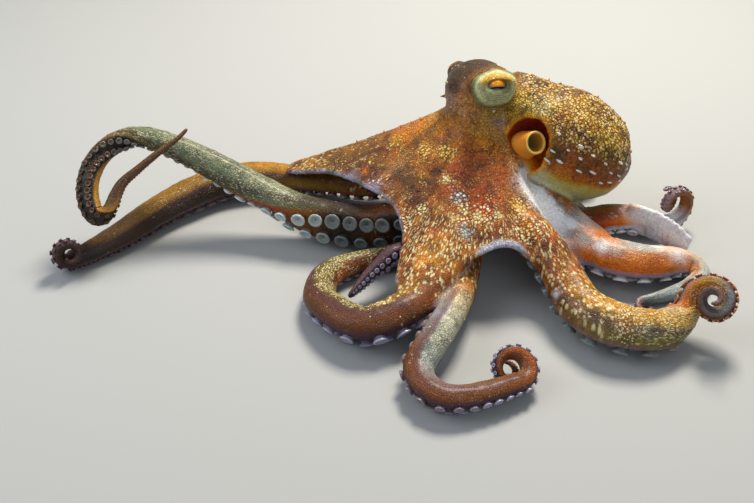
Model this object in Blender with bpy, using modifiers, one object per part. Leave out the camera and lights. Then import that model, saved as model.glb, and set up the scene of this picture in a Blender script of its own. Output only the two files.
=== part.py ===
"""Common octopus, resting and crawling pose, life size.

Built as closed solids: crown with the skirt of web, head, mantle, siphon, eyes,
and eight arms, each cut into a few lengths.  Lengths in this file are
millimetres; objects are written in metres with +Z up and the floor at z = 0.
"""
import bpy
import bmesh
import math
import numpy as np
from mathutils import Vector, Matrix

for old in list(bpy.data.objects):
    bpy.data.objects.remove(old, do_unlink=True)

MM = 0.001
GAP = 0.3            # clear distance between touching solids
SIDES = 10           # sides of an arm's section
FLAT = math.cos(math.pi / SIDES)   # depth of the flat side of the section

# Each arm: where its middle line runs (x, y, z), its half thickness and how far
# the sucker side is rolled away from the floor (degrees); then the curl of the
# tip (turns, first radius, last radius, sideways drift per turn, last half
# thickness); the distance along the arm at which it leaves the crown; and the
# shares of the free part at which it is divided.
ARMS = {
    "arm_left_1": dict(
        run=[(70, 4, 50, 18, 20), (36, -5, 41, 18.5, 66), (-4, 2, 27, 19.5, 88),
             (-42, 12, 25, 19.5, 88), (-73, 20, 30, 18, 66), (-107, 32, 44, 15.8, 36),
             (-144, 42, 63, 13.5, 10), (-180, 48, 80, 11.4, 0), (-201, 49, 87, 10.6, 0),
             (-222, 45, 88, 10, 10), (-239, 33, 81, 10, 20), (-248, 17, 69, 10, 30),
             (-248, 2, 55, 10, 40), (-239, -11, 45.5, 9.2, 40), (-229, -9, 48, 7.6, 30),
             (-224, 2, 58, 5.8, 20), (-219, 10, 65, 4.8, 10), (-207, 18, 73, 3.9, 8),
             (-193, 26, 82, 3.3, 5), (-181, 32, 89, 2.7, 0), (-172, 37, 94, 2.2, 0),
             (-165, 43, 99, 1.6, 0)],
        curl=None, leaves=104, cuts=(0.25, 0.48, 0.66, 0.8)),
    "arm_right_1": dict(
        run=[(68, 30, 60, 18, 0), (26, 58, 41, 17, 8), (-7, 72, 24, 16.2, 16),
             (-40, 86, 18, 15.4, 22), (-74, 93, 16, 15.2, 22), (-110, 97, 16.5, 16.5, 18),
             (-143, 88, 17, 17, 14), (-172, 67, 17, 17, 12), (-199, 40, 15.5, 15.5, 12),
             (-226, 7, 13, 13.2, 12), (-250, -16, 10.5, 10.6, 12), (-263, -25, 9.2, 9.2, 12)],
        curl=(1.25, 11, 6, 13.4, 1.7), leaves=160, cuts=(0.26, 0.5, 0.74)),
    "arm_left_2": dict(
        run=[(74, -22, 54, 19, 0), (63, -58, 42, 18.5, 12), (41, -94, 26.5, 17, 30),
             (15, -117, 21, 18.4, 42), (-9, -126, 18.5, 18, 45), (-33, -109, 16.5, 16.5, 40),
             (-47, -80, 14, 14.5, 24), (-41, -50, 12, 12.8, 5), (-21, -34, 11, 11.2, -10),
             (5, -26, 13, 9.8, 0), (20, -30, 21, 9.4, 50), (22, -40, 29, 9, 80),
             (13, -49, 32, 8.4, 90), (3, -58, 28, 7.4, 92), (-6, -65, 23, 6.2, 92),
             (-15, -72, 16.5, 4.5, 92), (-22, -77, 11, 2.6, 92)],
        curl=None, leaves=128, cuts=(0.24, 0.5, 0.72)),
    "arm_left_3": dict(
        run=[(84, -14, 38, 13, 0), (76, -50, 24, 12.2, -20), (68, -90, 23.5, 12, -40),
             (54, -126, 25.5, 13.4, -50), (40, -152, 20.5, 13.5, -52), (31, -168, 15, 13.2, -52),
             (32, -183, 13.5, 13, -52), (46, -199, 13, 12.4, -52), (64, -200, 12.5, 11.6, -52),
             (84, -193, 12, 10.8, -52), (105, -183, 11.5, 9.8, -52)],
        curl=(1.45, 15, 7, 13.6, 1.8), leaves=130, cuts=(0.27, 0.5, 0.7)),
    "arm_left_4": dict(
        run=[(102, -20, 54, 18, 0), (130, -44, 48, 17.5, -8), (149, -73, 32, 18.5, -16),
             (161, -105, 22, 20.5, -20), (180, -127, 21, 21.5, -24), (201, -133, 20, 20.5, -22),
             (220, -130, 19, 18, -10), (233, -122, 20, 15.2, 20), (241, -115, 24, 12.8, 60),
             (244, -109, 30, 11.6, 90)],
        curl=(1.75, 18.8, 5.2, 17.4, 2.0), leaves=142, cuts=(0.26, 0.5, 0.7)),
    "arm_right_4": dict(
        run=[(110, 6, 56, 18, 0), (136, 1, 48, 19, -12), (159, -8, 30, 19.5, -22),
             (179, -24, 22, 19.5, -26), (202, -40, 19.5, 19.5, -28), (229, -45, 18.5, 18, -28),
             (252, -39, 16, 14.5, -28), (267, -40, 13.5, 11.4, -30), (272, -51, 11.5, 9.4, -40),
             (261, -62, 9.5, 7.6, -50), (245, -69, 7.5, 6.2, -60), (231, -74, 6.5, 5, -70),
             (219, -77, 6, 4, -80)],
        curl=(1.1, 6.5, 4.5, 6.5, 1.2), leaves=84, cuts=(0.28, 0.54, 0.76)),
    "arm_right_3": dict(
        run=[(112, 26, 58, 17, 0), (148, 27, 38, 16.5, -14), (182, 23, 15, 14.8, -24),
             (210, 26, 16, 15.8, -30), (236, 27, 16, 13.5, -30), (252, 26, 12, 10.4, -20),
             (266, 29, 12, 8.4, -10), (275, 35, 16, 7.4, 0)],
        curl=(1.5, 12.5, 7.5, 12, 2.2), leaves=80, cuts=(0.15, 0.4, 0.7)),
    "arm_right_2": dict(
        run=[(98, 44, 60, 17, 0), (112, 82, 50, 17.5, 0), (126, 116, 28, 16, 0),
             (146, 144, 16, 14.6, 0), (174, 162, 13, 12.8, -10), (200, 160, 11, 11, -20),
             (216, 142, 9.5, 9.4, -24), (214, 120, 8, 8, -24), (196, 108, 7, 6.6, -24)],
        curl=(1.3, 13, 6.5, 9, 1.4), leaves=130, cuts=(0.3, 0.62)),
}
PLEAT = [(222, 23, 24, 15, 5), (241, 12, 22, 16, 4.6), (258, -1, 19, 15, 4.2), (271, -14, 15, 11, 3.6)]

# Free edge of the web: bearing from the crown's middle, reach, height, and how
# far the skirt sags below a straight line to the neck.
WEB_MIDDLE = (95, 30)
WEB = [(5, 92, 24, 26), (20, 90, 26, 22), (38, 88, 30, 14), (55, 100, 28, 8),
       (70, 122, 26, 4), (86, 98, 30, 6), (106, 88, 32, 6), (126, 96, 32, 2),
       (141, 116, 30, 3), (152, 160, 27, 4), (160, 205, 26, 4), (165, 182, 35, 1),
       (170, 148, 49, -2), (180, 124, 59, -3), (194, 104, 62, 0), (206, 95, 60, 3),
       (216, 96, 54, 4), (225, 106, 42, 6), (232, 130, 34, 8), (238, 150, 34, 8),
       (245, 154, 36, 6), (252, 128, 38, 5), (259, 108, 46, 4), (266, 102, 52, 3),
       (274, 100, 56, 3), (283, 101, 50, 4), (289, 112, 38, 6), (295, 138, 30, 8),
       (302, 136, 26, 12), (310, 116, 18, 18), (318, 108, 18, 22), (325, 128, 22, 20),
       (333, 134, 22, 20), (343, 108, 20, 24), (353, 98, 22, 27)]
NECK = (90, 54, 110)
NECK_RADIUS = 31
WEB_THICK = (8.0, 5.0)      # at the neck, at the free edge

HEAD_BALLS = [((88, 63, 126), (30, 31, 27)), ((90, 55, 113), (31, 31, 18)),
              ((96, 47, 138.5), (22, 18.5, 19.5)), ((79.5, 77, 127.5), (19, 20, 18)),
              ((87, 64, 137), (19, 21, 15))]
EYES = {"eye_left": ((98.8, 34.2, 145.5), 9.0), "eye_right": ((74.5, 89.5, 129.5), 9.0)}

MANTLE = [(106, 60, 122, 27), (119, 58, 113, 33.5), (138, 54, 98, 43), (158, 51, 86, 48),
          (179, 50, 75, 47.5), (197, 50, 67, 41), (210, 50, 61, 31), (219, 50, 58, 17)]
MANTLE_SIDES = 16
NECK_CUT = ((111, 60, 120), (0.86, -0.06, -0.50))
APERTURE = ((130, 22, 96), (20.5, 17, 25.5))
SIPHON = [(118, 36, 80, 14.5), (122, 30, 88, 14), (126.5, 23, 95.5, 12.8), (130.5, 16.5, 101, 11.4), (133, 12, 104, 10.4)]
SIPHON_BORE = 7.5


def unit(v):
    v = np.asarray(v, float)
    return v / np.linalg.norm(v)


def turned(v, axis, angle):
    axis = unit(axis)
    return (v * math.cos(angle) + np.cross(axis, v) * math.sin(angle)
            + axis * (axis @ v) * (1 - math.cos(angle)))


def spline(rows, step):
    """Centripetal curve through rows; the first three columns are a place."""
    p = np.asarray(rows, float)
    p = np.vstack([2 * p[0] - p[1], p, 2 * p[-1] - p[-2]])
    out = []
    for i in range(1, len(p) - 2):
        a, b, c, d = p[i - 1:i + 3]
        t = [0.0]
        for u, v in ((a, b), (b, c), (c, d)):
            t.append(t[-1] + max(1e-6, np.linalg.norm((v - u)[:3])) ** 0.5)
        n = max(2, round(np.linalg.norm((c - b)[:3]) / step))
        for x in np.linspace(t[1], t[2], n, endpoint=False):
            ab = a + (b - a) * (x - t[0]) / (t[1] - t[0])
            bc = b + (c - b) * (x - t[1]) / (t[2] - t[1])
            cd = c + (d - c) * (x - t[2]) / (t[3] - t[2])
            e = ab + (bc - ab) * (x - t[0]) / (t[2] - t[0])
            g = bc + (cd - bc) * (x - t[1]) / (t[3] - t[1])
            out.append(e + (g - e) * (x - t[1]) / (t[2] - t[1]))
    out.append(p[-2])
    return np.array(out)


def arm_line(spec):
    """Dense samples of an arm: place, half thickness, tangent, reference side
    (down, carried along), sucker side, and distance along."""
    rows = spline(spec["run"], 2.0)
    half = rows[:, 3]
    place = rows[:, :3].copy()
    place[:, 2] = np.maximum(place[:, 2], half * FLAT)
    ahead = np.gradient(place, axis=0)
    ahead /= np.linalg.norm(ahead, axis=1)[:, None]
    down = np.array([0, 0, -1.0]) - ahead * (-ahead[:, 2])[:, None]
    down /= np.linalg.norm(down, axis=1)[:, None]
    oral = np.array([turned(d, t, math.radians(r)) for d, t, r in zip(down, ahead, rows[:, 4])])
    if spec["curl"]:
        turns, first, last, drift, end = spec["curl"]
        steps = round(44 * turns)
        p, t, o, d = place[-1], ahead[-1], oral[-1], down[-1]
        axis = np.cross(t, o)
        bend = 2 * math.pi * turns / steps
        extra = []
        for k in range(1, steps + 1):
            share = k / steps
            radius = first * (last / first) ** share
            p = p + t * radius * bend + axis * drift * turns / steps
            t, o, d = (turned(v, axis, -bend) for v in (t, o, d))
            extra.append((p, half[-1] + (end - half[-1]) * share ** 0.8, t, d, o))
        place = np.vstack([place, [e[0] for e in extra]])
        half = np.concatenate([half, [e[1] for e in extra]])
        ahead = np.vstack([ahead, [e[2] for e in extra]])
        down = np.vstack([down, [e[3] for e in extra]])
        oral = np.vstack([oral, [e[4] for e in extra]])
    gone = np.concatenate([[0], np.cumsum(np.linalg.norm(np.diff(place, axis=0), axis=1))])
    return dict(place=place, half=half, ahead=ahead, down=down, oral=oral, gone=gone)


def at(line, s):
    """The arm's frame at distance s along it."""
    get = lambda k: np.array([np.interp(s, line["gone"], line[k][:, i]) for i in range(3)])
    t = unit(get("ahead"))
    d = get("down")
    d = unit(d - t * (d @ t))
    return get("place"), float(np.interp(s, line["gone"], line["half"])), t, d


def ring_points(centre, half, t, d, sides=SIDES):
    side = np.cross(t, d)
    turn = [2 * math.pi * (k + 0.5) / sides for k in range(sides)]
    pts = np.array([centre + half * (math.cos(a) * d + math.sin(a) * side) for a in turn])
    pts[np.abs(pts[:, 2]) < 0.35, 2] = 0.0
    pts[:, 2] = np.maximum(pts[:, 2], 0.0)
    return pts


def sweep_mesh(rings):
    """Closed skin through rings of equal size, flat ends."""
    n = len(rings[0])
    verts = [tuple(p) for r in rings for p in r]
    faces = [[i * n + k, i * n + (k + 1) % n, (i + 1) * n + (k + 1) % n, (i + 1) * n + k]
             for i in range(len(rings) - 1) for k in range(n)]
    faces.append(list(range(n))[::-1])
    faces.append([(len(rings) - 1) * n + k for k in range(n)])
    return verts, faces


def new_object(name, verts, faces):
    mesh = bpy.data.meshes.new(name)
    mesh.from_pydata([(p[0], p[1], p[2]) for p in verts], [], faces)
    bm = bmesh.new()
    bm.from_mesh(mesh)
    bmesh.ops.recalc_face_normals(bm, faces=bm.faces)
    bm.to_mesh(mesh)
    bm.free()
    obj = bpy.data.objects.new(name, mesh)
    bpy.context.scene.collection.objects.link(obj)
    return obj


def ball(name, centre, radii, rings=12, around=18):
    """Stretched sphere."""
    mesh = bpy.data.meshes.new(name)
    bm = bmesh.new()
    bmesh.ops.create_uvsphere(bm, u_segments=around, v_segments=rings, radius=1.0,
                              matrix=Matrix.Translation(centre) @ Matrix.Diagonal((*radii, 1.0)))
    bm.to_mesh(mesh)
    bm.free()
    obj = bpy.data.objects.new(name, mesh)
    bpy.context.scene.collection.objects.link(obj)
    return obj


def drop(*objs):
    for o in objs:
        bpy.data.objects.remove(o, do_unlink=True)


def evaluated(obj):
    """Write an object's modifiers into its mesh."""
    graph = bpy.context.evaluated_depsgraph_get()
    mesh = bpy.data.meshes.new_from_object(obj.evaluated_get(graph))
    obj.modifiers.clear()
    obj.data = mesh
    return obj


def boolean(obj, other, kind):
    m = obj.modifiers.new(kind.lower(), "BOOLEAN")
    m.operation, m.solver, m.object = kind, "EXACT", other
    return evaluated(obj)


def merged(name, objs, voxel, passes, target):
    """One closed skin over overlapping solids, softened and thinned out."""
    bm = bmesh.new()
    for o in objs:
        bm.from_mesh(o.data)
    mesh = bpy.data.meshes.new(name)
    bm.to_mesh(mesh)
    bm.free()
    drop(*objs)
    obj = bpy.data.objects.new(name, mesh)
    bpy.context.scene.collection.objects.link(obj)
    m = obj.modifiers.new("remesh", "REMESH")
    m.mode, m.voxel_size, m.adaptivity = "VOXEL", voxel, 0.0
    m = obj.modifiers.new("smooth", "SMOOTH")
    m.factor, m.iterations = 0.5, passes
    evaluated(obj)
    obj.data.calc_loop_triangles()
    m = obj.modifiers.new("thin", "DECIMATE")
    m.ratio = min(1.0, target / len(obj.data.loop_triangles))
    return evaluated(obj)


def bisected(obj, point, normal):
    """Keep the part of obj behind the plane and close it flat."""
    bm = bmesh.new()
    bm.from_mesh(obj.data)
    cut = bmesh.ops.bisect_plane(bm, geom=bm.verts[:] + bm.edges[:] + bm.faces[:], dist=1e-4,
                                 plane_co=Vector(point), plane_no=Vector(unit(normal)),
                                 clear_outer=True)
    edges = [e for e in cut["geom_cut"] if isinstance(e, bmesh.types.BMEdge)]
    bmesh.ops.holes_fill(bm, edges=edges, sides=0)
    bmesh.ops.recalc_face_normals(bm, faces=bm.faces)
    bm.to_mesh(obj.data)
    bm.free()
    return obj


def trimmed(obj):
    """Drop crumbs that a cut left beside the main body."""
    bm = bmesh.new()
    bm.from_mesh(obj.data)
    todo, bodies = set(bm.verts), []
    while todo:
        front, body = [todo.pop()], set()
        while front:
            v = front.pop()
            body.add(v)
            near = {e.other_vert(v) for e in v.link_edges} & todo
            todo -= near
            front += near
        bodies.append(body)
    bodies.sort(key=len)
    bmesh.ops.delete(bm, geom=[v for body in bodies[:-1] for v in body], context="VERTS")
    bm.to_mesh(obj.data)
    bm.free()
    return obj


def web_profile():
    """Outer surface of the skirt: rows of places by bearing and by drop."""
    table = np.array(sorted(WEB), float)
    rows = np.vstack([table[-3:] - [360, 0, 0, 0], table, table[:3] + [360, 0, 0, 0]])
    around, down = 96, 14
    grid = np.zeros((around, down + 1, 3))
    for i in range(around):
        bearing = 360 * i / around
        k = int(np.searchsorted(rows[:, 0], bearing, side="right"))
        a, b, c, d = rows[k - 2], rows[k - 1], rows[k], rows[k + 1]
        f = (bearing - b[0]) / (c[0] - b[0])
        m1 = (c[1:] - a[1:]) / (c[0] - a[0]) * (c[0] - b[0])
        m2 = (d[1:] - b[1:]) / (d[0] - b[0]) * (c[0] - b[0])
        reach, height, sag = ((2 * f**3 - 3 * f**2 + 1) * b[1:] + (f**3 - 2 * f**2 + f) * m1
                              + (3 * f**2 - 2 * f**3) * c[1:] + (f**3 - f**2) * m2)
        way = np.array([math.cos(math.radians(bearing)), math.sin(math.radians(bearing)), 0])
        top = np.array(NECK, float) + way * NECK_RADIUS
        rim = np.array([WEB_MIDDLE[0], WEB_MIDDLE[1], 0]) + way * reach
        rim[2] = height
        for j in range(down + 1):
            t = j / down
            grid[i, j] = top + (rim - top) * t - np.array([0, 0, sag * 4 * t * (1 - t) ** 1.5])
    return grid


def skirt():
    grid = web_profile()
    around, down = grid.shape[0], grid.shape[1] - 1
    across = np.roll(grid, -1, axis=0) - np.roll(grid, 1, axis=0)
    along = np.gradient(grid, axis=1)
    out = np.cross(across, along)
    out /= np.linalg.norm(out, axis=2)[:, :, None]
    out[out[:, :, 2] < 0] *= -1
    thick = np.linspace(WEB_THICK[0], WEB_THICK[1], down + 1)
    inner = grid - out * thick[None, :, None]
    verts = [tuple(p) for p in grid.reshape(-1, 3)] + [tuple(p) for p in inner.reshape(-1, 3)]
    n, m = down + 1, around * (down + 1)
    faces = []
    for i in range(around):
        j2 = (i + 1) % around
        for j in range(down):
            a, b, c, d = i * n + j, i * n + j + 1, j2 * n + j + 1, j2 * n + j
            faces += [[a, b, c, d], [m + a, m + d, m + c, m + b]]
        faces.append([i * n + down, m + i * n + down, m + j2 * n + down, j2 * n + down])
    faces.append([i * n for i in range(around)])
    faces.append([m + i * n for i in range(around)][::-1])
    return new_object("skirt", verts, faces)


def steps_between(line, start, end):
    """Ring positions between two distances, closer together where thin."""
    out = [start]
    while True:
        half = float(np.interp(out[-1], line["gone"], line["half"]))
        nxt = out[-1] + 0.76 * half + 3.4
        if nxt > end - 0.35 * half - 1.0:
            break
        out.append(nxt)
    return out + [end]


def sweep(name, line, start, end):
    sides = SIDES if at(line, start)[1] > 8.5 else SIDES - 2
    return new_object(name, *sweep_mesh([ring_points(*at(line, s), sides=sides)
                                         for s in steps_between(line, start, end)]))


nodes = []
lines = {name: arm_line(spec) for name, spec in ARMS.items()}

# crown: skirt, middle and the roots of the arms, as one skin
parts = [skirt(), ball("middle", (95, 36, 76), (44, 42, 27)), ball("mouth", (95, 31, 56), (17, 17, 14)),
         ball("neck", (90, 54, 106), (31, 31, 26))]
stops = []
for name, spec in ARMS.items():
    line = lines[name]
    parts.append(sweep(name + "_root", line, 0, spec["leaves"] + 10))
    centre, half, t, d = at(line, spec["leaves"])
    side = np.cross(t, d)
    ring = [math.cos(a) * d + math.sin(a) * side for a in (2 * math.pi * k / 12 for k in range(12))]
    stops.append(new_object("stop", *sweep_mesh(
        [np.array([centre + t * far + v * (half * 1.06 + 1.5) for v in ring]) for far in (-GAP / 2, 26)])))
crown = merged("crown", parts, 2.2, 7, 2450)
for stop in stops:
    boolean(crown, stop, "DIFFERENCE")
drop(*stops)
trimmed(crown)
bisected(crown, (0, 0, NECK[2] - GAP / 2), (0, 0, 1))
for v in crown.data.vertices:
    if v.co.z < 0.35:
        v.co.z = 0.0
nodes.append(crown)

# arms
for name, spec in ARMS.items():
    line = lines[name]
    start, end = spec["leaves"], line["gone"][-1]
    marks = [start] + [start + (end - start) * c for c in spec["cuts"]] + [end]
    for k in range(len(marks) - 1):
        nodes.append(sweep("%s_length_%s" % (name, "abcdef"[k]), line, marks[k] + GAP / 2,
                           marks[k + 1] - (GAP / 2 if k < len(marks) - 2 else 0)))

# head
head = merged("head", [ball("b", c, r, 14, 22) for c, r in HEAD_BALLS], 1.6, 8, 560)
bisected(head, (0, 0, NECK[2] + GAP / 2), (0, 0, -1))
bisected(head, np.array(NECK_CUT[0]) - unit(NECK_CUT[1]) * GAP / 2, NECK_CUT[1])
for name, (centre, radius) in EYES.items():
    socket = ball("socket", centre, (radius + GAP * 1.6,) * 3, 8, 12)
    boolean(head, socket, "DIFFERENCE")
    drop(socket)
    nodes.append(ball(name, centre, (radius,) * 3, 8, 12))
nodes.append(head)

# mantle: a sac lying back from the head, its front edge open beside the siphon
def sac(rows, sides):
    rows = spline(rows, 14.0)
    place, half = rows[:, :3], rows[:, 3]
    ahead = np.gradient(place, axis=0)
    ahead[0] = NECK_CUT[1]
    rings = []
    for p, h, t in zip(place, half, ahead):
        t = unit(t)
        d = unit(np.array([0, 0, -1.0]) + t * t[2])
        rings.append(ring_points(p, h, t, d, sides))
    return rings, place, unit(ahead[-1])


rings, place, way = sac(MANTLE, MANTLE_SIDES)
verts, faces = sweep_mesh(rings)
faces = faces[:-1]
tip = len(verts)
verts.append(tuple(place[-1] + way * 7))
last = (len(rings) - 1) * MANTLE_SIDES
faces += [[last + k, last + (k + 1) % MANTLE_SIDES, tip] for k in range(MANTLE_SIDES)]
mantle = new_object("mantle", verts, faces)
bisected(mantle, np.array(NECK_CUT[0]) + unit(NECK_CUT[1]) * GAP / 2, -np.array(NECK_CUT[1]))
hollow = ball("hollow", *APERTURE, 8, 12)
boolean(mantle, hollow, "DIFFERENCE")
drop(hollow)


def grown(obj, by):
    """A copy of obj pushed outwards along its own normals."""
    copy = bpy.data.objects.new(obj.name + "_grown", obj.data.copy())
    bpy.context.scene.collection.objects.link(copy)
    moved = [v.co + v.normal * by for v in copy.data.vertices]
    for v, co in zip(copy.data.vertices, moved):
        v.co = co
    return copy


wide = grown(crown, GAP + 0.3)
boolean(mantle, wide, "DIFFERENCE")


def siphon_pipe(name, extra):
    line = spline(SIPHON, 4.0)
    ahead = np.gradient(line[:, :3], axis=0)
    rings = [ring_points(p[:3], p[3] + extra, unit(t), unit(np.array([0, 0, -1.0]) + unit(t) * unit(t)[2]), 12)
             for p, t in zip(line, ahead)]
    if extra:
        rings.append(rings[-1] + unit(ahead[-1]) * 30)
    return new_object(name, *sweep_mesh(rings)), line[-1, :3], unit(ahead[-1])


# siphon: a short bent tube with an open mouth
room = siphon_pipe("room", GAP + 0.3)[0]
boolean(mantle, room, "DIFFERENCE")
siphon, mouth, t = siphon_pipe("siphon", 0)
d = unit(np.array([0, 0, -1.0]) + t * t[2])
bore = new_object("bore", *sweep_mesh([ring_points(mouth + t * far, half, t, d, 12)
                                       for far, half in ((-17, SIPHON_BORE * 0.7), (4, SIPHON_BORE + 0.6))]))
boolean(siphon, bore, "DIFFERENCE")
boolean(siphon, wide, "DIFFERENCE")
drop(bore, wide, room)
nodes += [trimmed(mantle), trimmed(siphon)]

# pale fold of skin beside the tip of the third right arm
rows = spline(PLEAT, 6.0)
ahead = np.gradient(rows[:, :3], axis=0)
rings = []
for row, t in zip(rows, ahead):
    t = unit(t)
    d = unit(np.array([0, 0, -1.0]) + t * t[2])
    side = np.cross(t, d)
    rings.append(np.array([row[:3] + row[3] * math.cos(a) * d + row[4] * math.sin(a) * side
                           for a in (2 * math.pi * (k + 0.5) / 8 for k in range(8))]))
fold = new_object("fold", *sweep_mesh(rings))
for n in nodes:
    if n.name == "arm_right_3_length_b":
        boolean(n, fold, "UNION")
drop(fold)

# finish: floor, place, size, materials
COLOURS = {"skin": (0.42, 0.22, 0.10), "siphon_skin": (0.75, 0.36, 0.10), "eye_glass": (0.30, 0.14, 0.03)}
materials = {}
for name, colour in COLOURS.items():
    m = bpy.data.materials.new(name)
    m.use_nodes = True
    shader = m.node_tree.nodes["Principled BSDF"]
    shader.inputs["Base Color"].default_value = (*colour, 1.0)
    shader.inputs["Roughness"].default_value = 0.15 if name == "eye_glass" else 0.45
    materials[name] = m

low = np.min([np.min([v.co for v in n.data.vertices], axis=0) for n in nodes], axis=0)
high = np.max([np.max([v.co for v in n.data.vertices], axis=0) for n in nodes], axis=0)
shift = Vector((-(low[0] + high[0]) / 2, -(low[1] + high[1]) / 2, -low[2]))
print("moved by", tuple(round(c, 2) for c in shift), "size", high - low)

octopus = bpy.data.collections.new("octopus")
bpy.context.scene.collection.children.link(octopus)
for n in nodes:
    for v in n.data.vertices:
        v.co = (v.co + shift) * MM
    key = "eye_glass" if n.name.startswith("eye") else "siphon_skin" if n.name == "siphon" else "skin"
    n.data.materials.clear()
    n.data.materials.append(materials[key])
    bpy.context.scene.collection.objects.unlink(n)
    octopus.objects.link(n)
    n.data.name = n.name
    n.data.calc_loop_triangles()
print("triangles", sum(len(n.data.loop_triangles) for n in nodes),
      {n.name: len(n.data.loop_triangles) for n in nodes if "arm" not in n.name})
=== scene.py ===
"""Common octopus, crawling: the looks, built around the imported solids.

One skin covers crown, head, mantle and arms; suckers, warts, siphon, eyes and
lids are pieces of their own.  Shapes are worked out in millimetres, in the
frame that the solids were drawn in, and written in metres.
"""
import bpy
import bmesh
import math
import numpy as np
from mathutils import Matrix, Vector, noise
from mathutils.bvhtree import BVHTree
from mathutils.kdtree import KDTree


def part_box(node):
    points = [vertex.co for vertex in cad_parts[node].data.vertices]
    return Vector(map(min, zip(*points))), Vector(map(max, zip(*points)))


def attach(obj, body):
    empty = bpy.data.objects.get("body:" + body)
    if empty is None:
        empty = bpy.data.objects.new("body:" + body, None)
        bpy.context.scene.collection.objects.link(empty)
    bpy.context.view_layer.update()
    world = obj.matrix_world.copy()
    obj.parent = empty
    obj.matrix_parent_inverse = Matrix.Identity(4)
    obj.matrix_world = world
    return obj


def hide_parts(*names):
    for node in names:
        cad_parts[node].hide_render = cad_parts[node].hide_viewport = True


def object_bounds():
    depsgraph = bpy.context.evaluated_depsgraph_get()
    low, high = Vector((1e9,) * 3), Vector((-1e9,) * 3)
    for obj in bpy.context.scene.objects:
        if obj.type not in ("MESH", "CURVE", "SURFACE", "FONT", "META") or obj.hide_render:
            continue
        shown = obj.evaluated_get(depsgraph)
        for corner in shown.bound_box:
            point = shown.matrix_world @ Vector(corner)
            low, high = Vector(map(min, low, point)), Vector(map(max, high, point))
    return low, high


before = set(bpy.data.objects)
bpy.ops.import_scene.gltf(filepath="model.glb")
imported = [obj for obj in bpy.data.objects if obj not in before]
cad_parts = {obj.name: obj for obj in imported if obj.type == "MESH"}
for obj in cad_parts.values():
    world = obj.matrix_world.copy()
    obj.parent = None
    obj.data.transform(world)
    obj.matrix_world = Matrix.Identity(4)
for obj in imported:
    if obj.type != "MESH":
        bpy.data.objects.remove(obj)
CAD_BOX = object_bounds()
BOX_LOW, BOX_HIGH = (np.array(c) for c in CAD_BOX)

MM = 0.001
SIDES = 10                          # the solids' arms have ten sides
FLAT = math.cos(math.pi / SIDES)    # from their middle to a flat side, against a corner
EYE_PLACES = {"eye_left": (98.8, 34.2, 145.5), "eye_right": (74.5, 89.5, 129.5)}
# The solids were moved to the middle of the floor: the left eye tells by how much.
low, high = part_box("eye_left")
SHIFT = np.array((low + high) / 2) / MM - EYE_PLACES["eye_left"]

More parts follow.
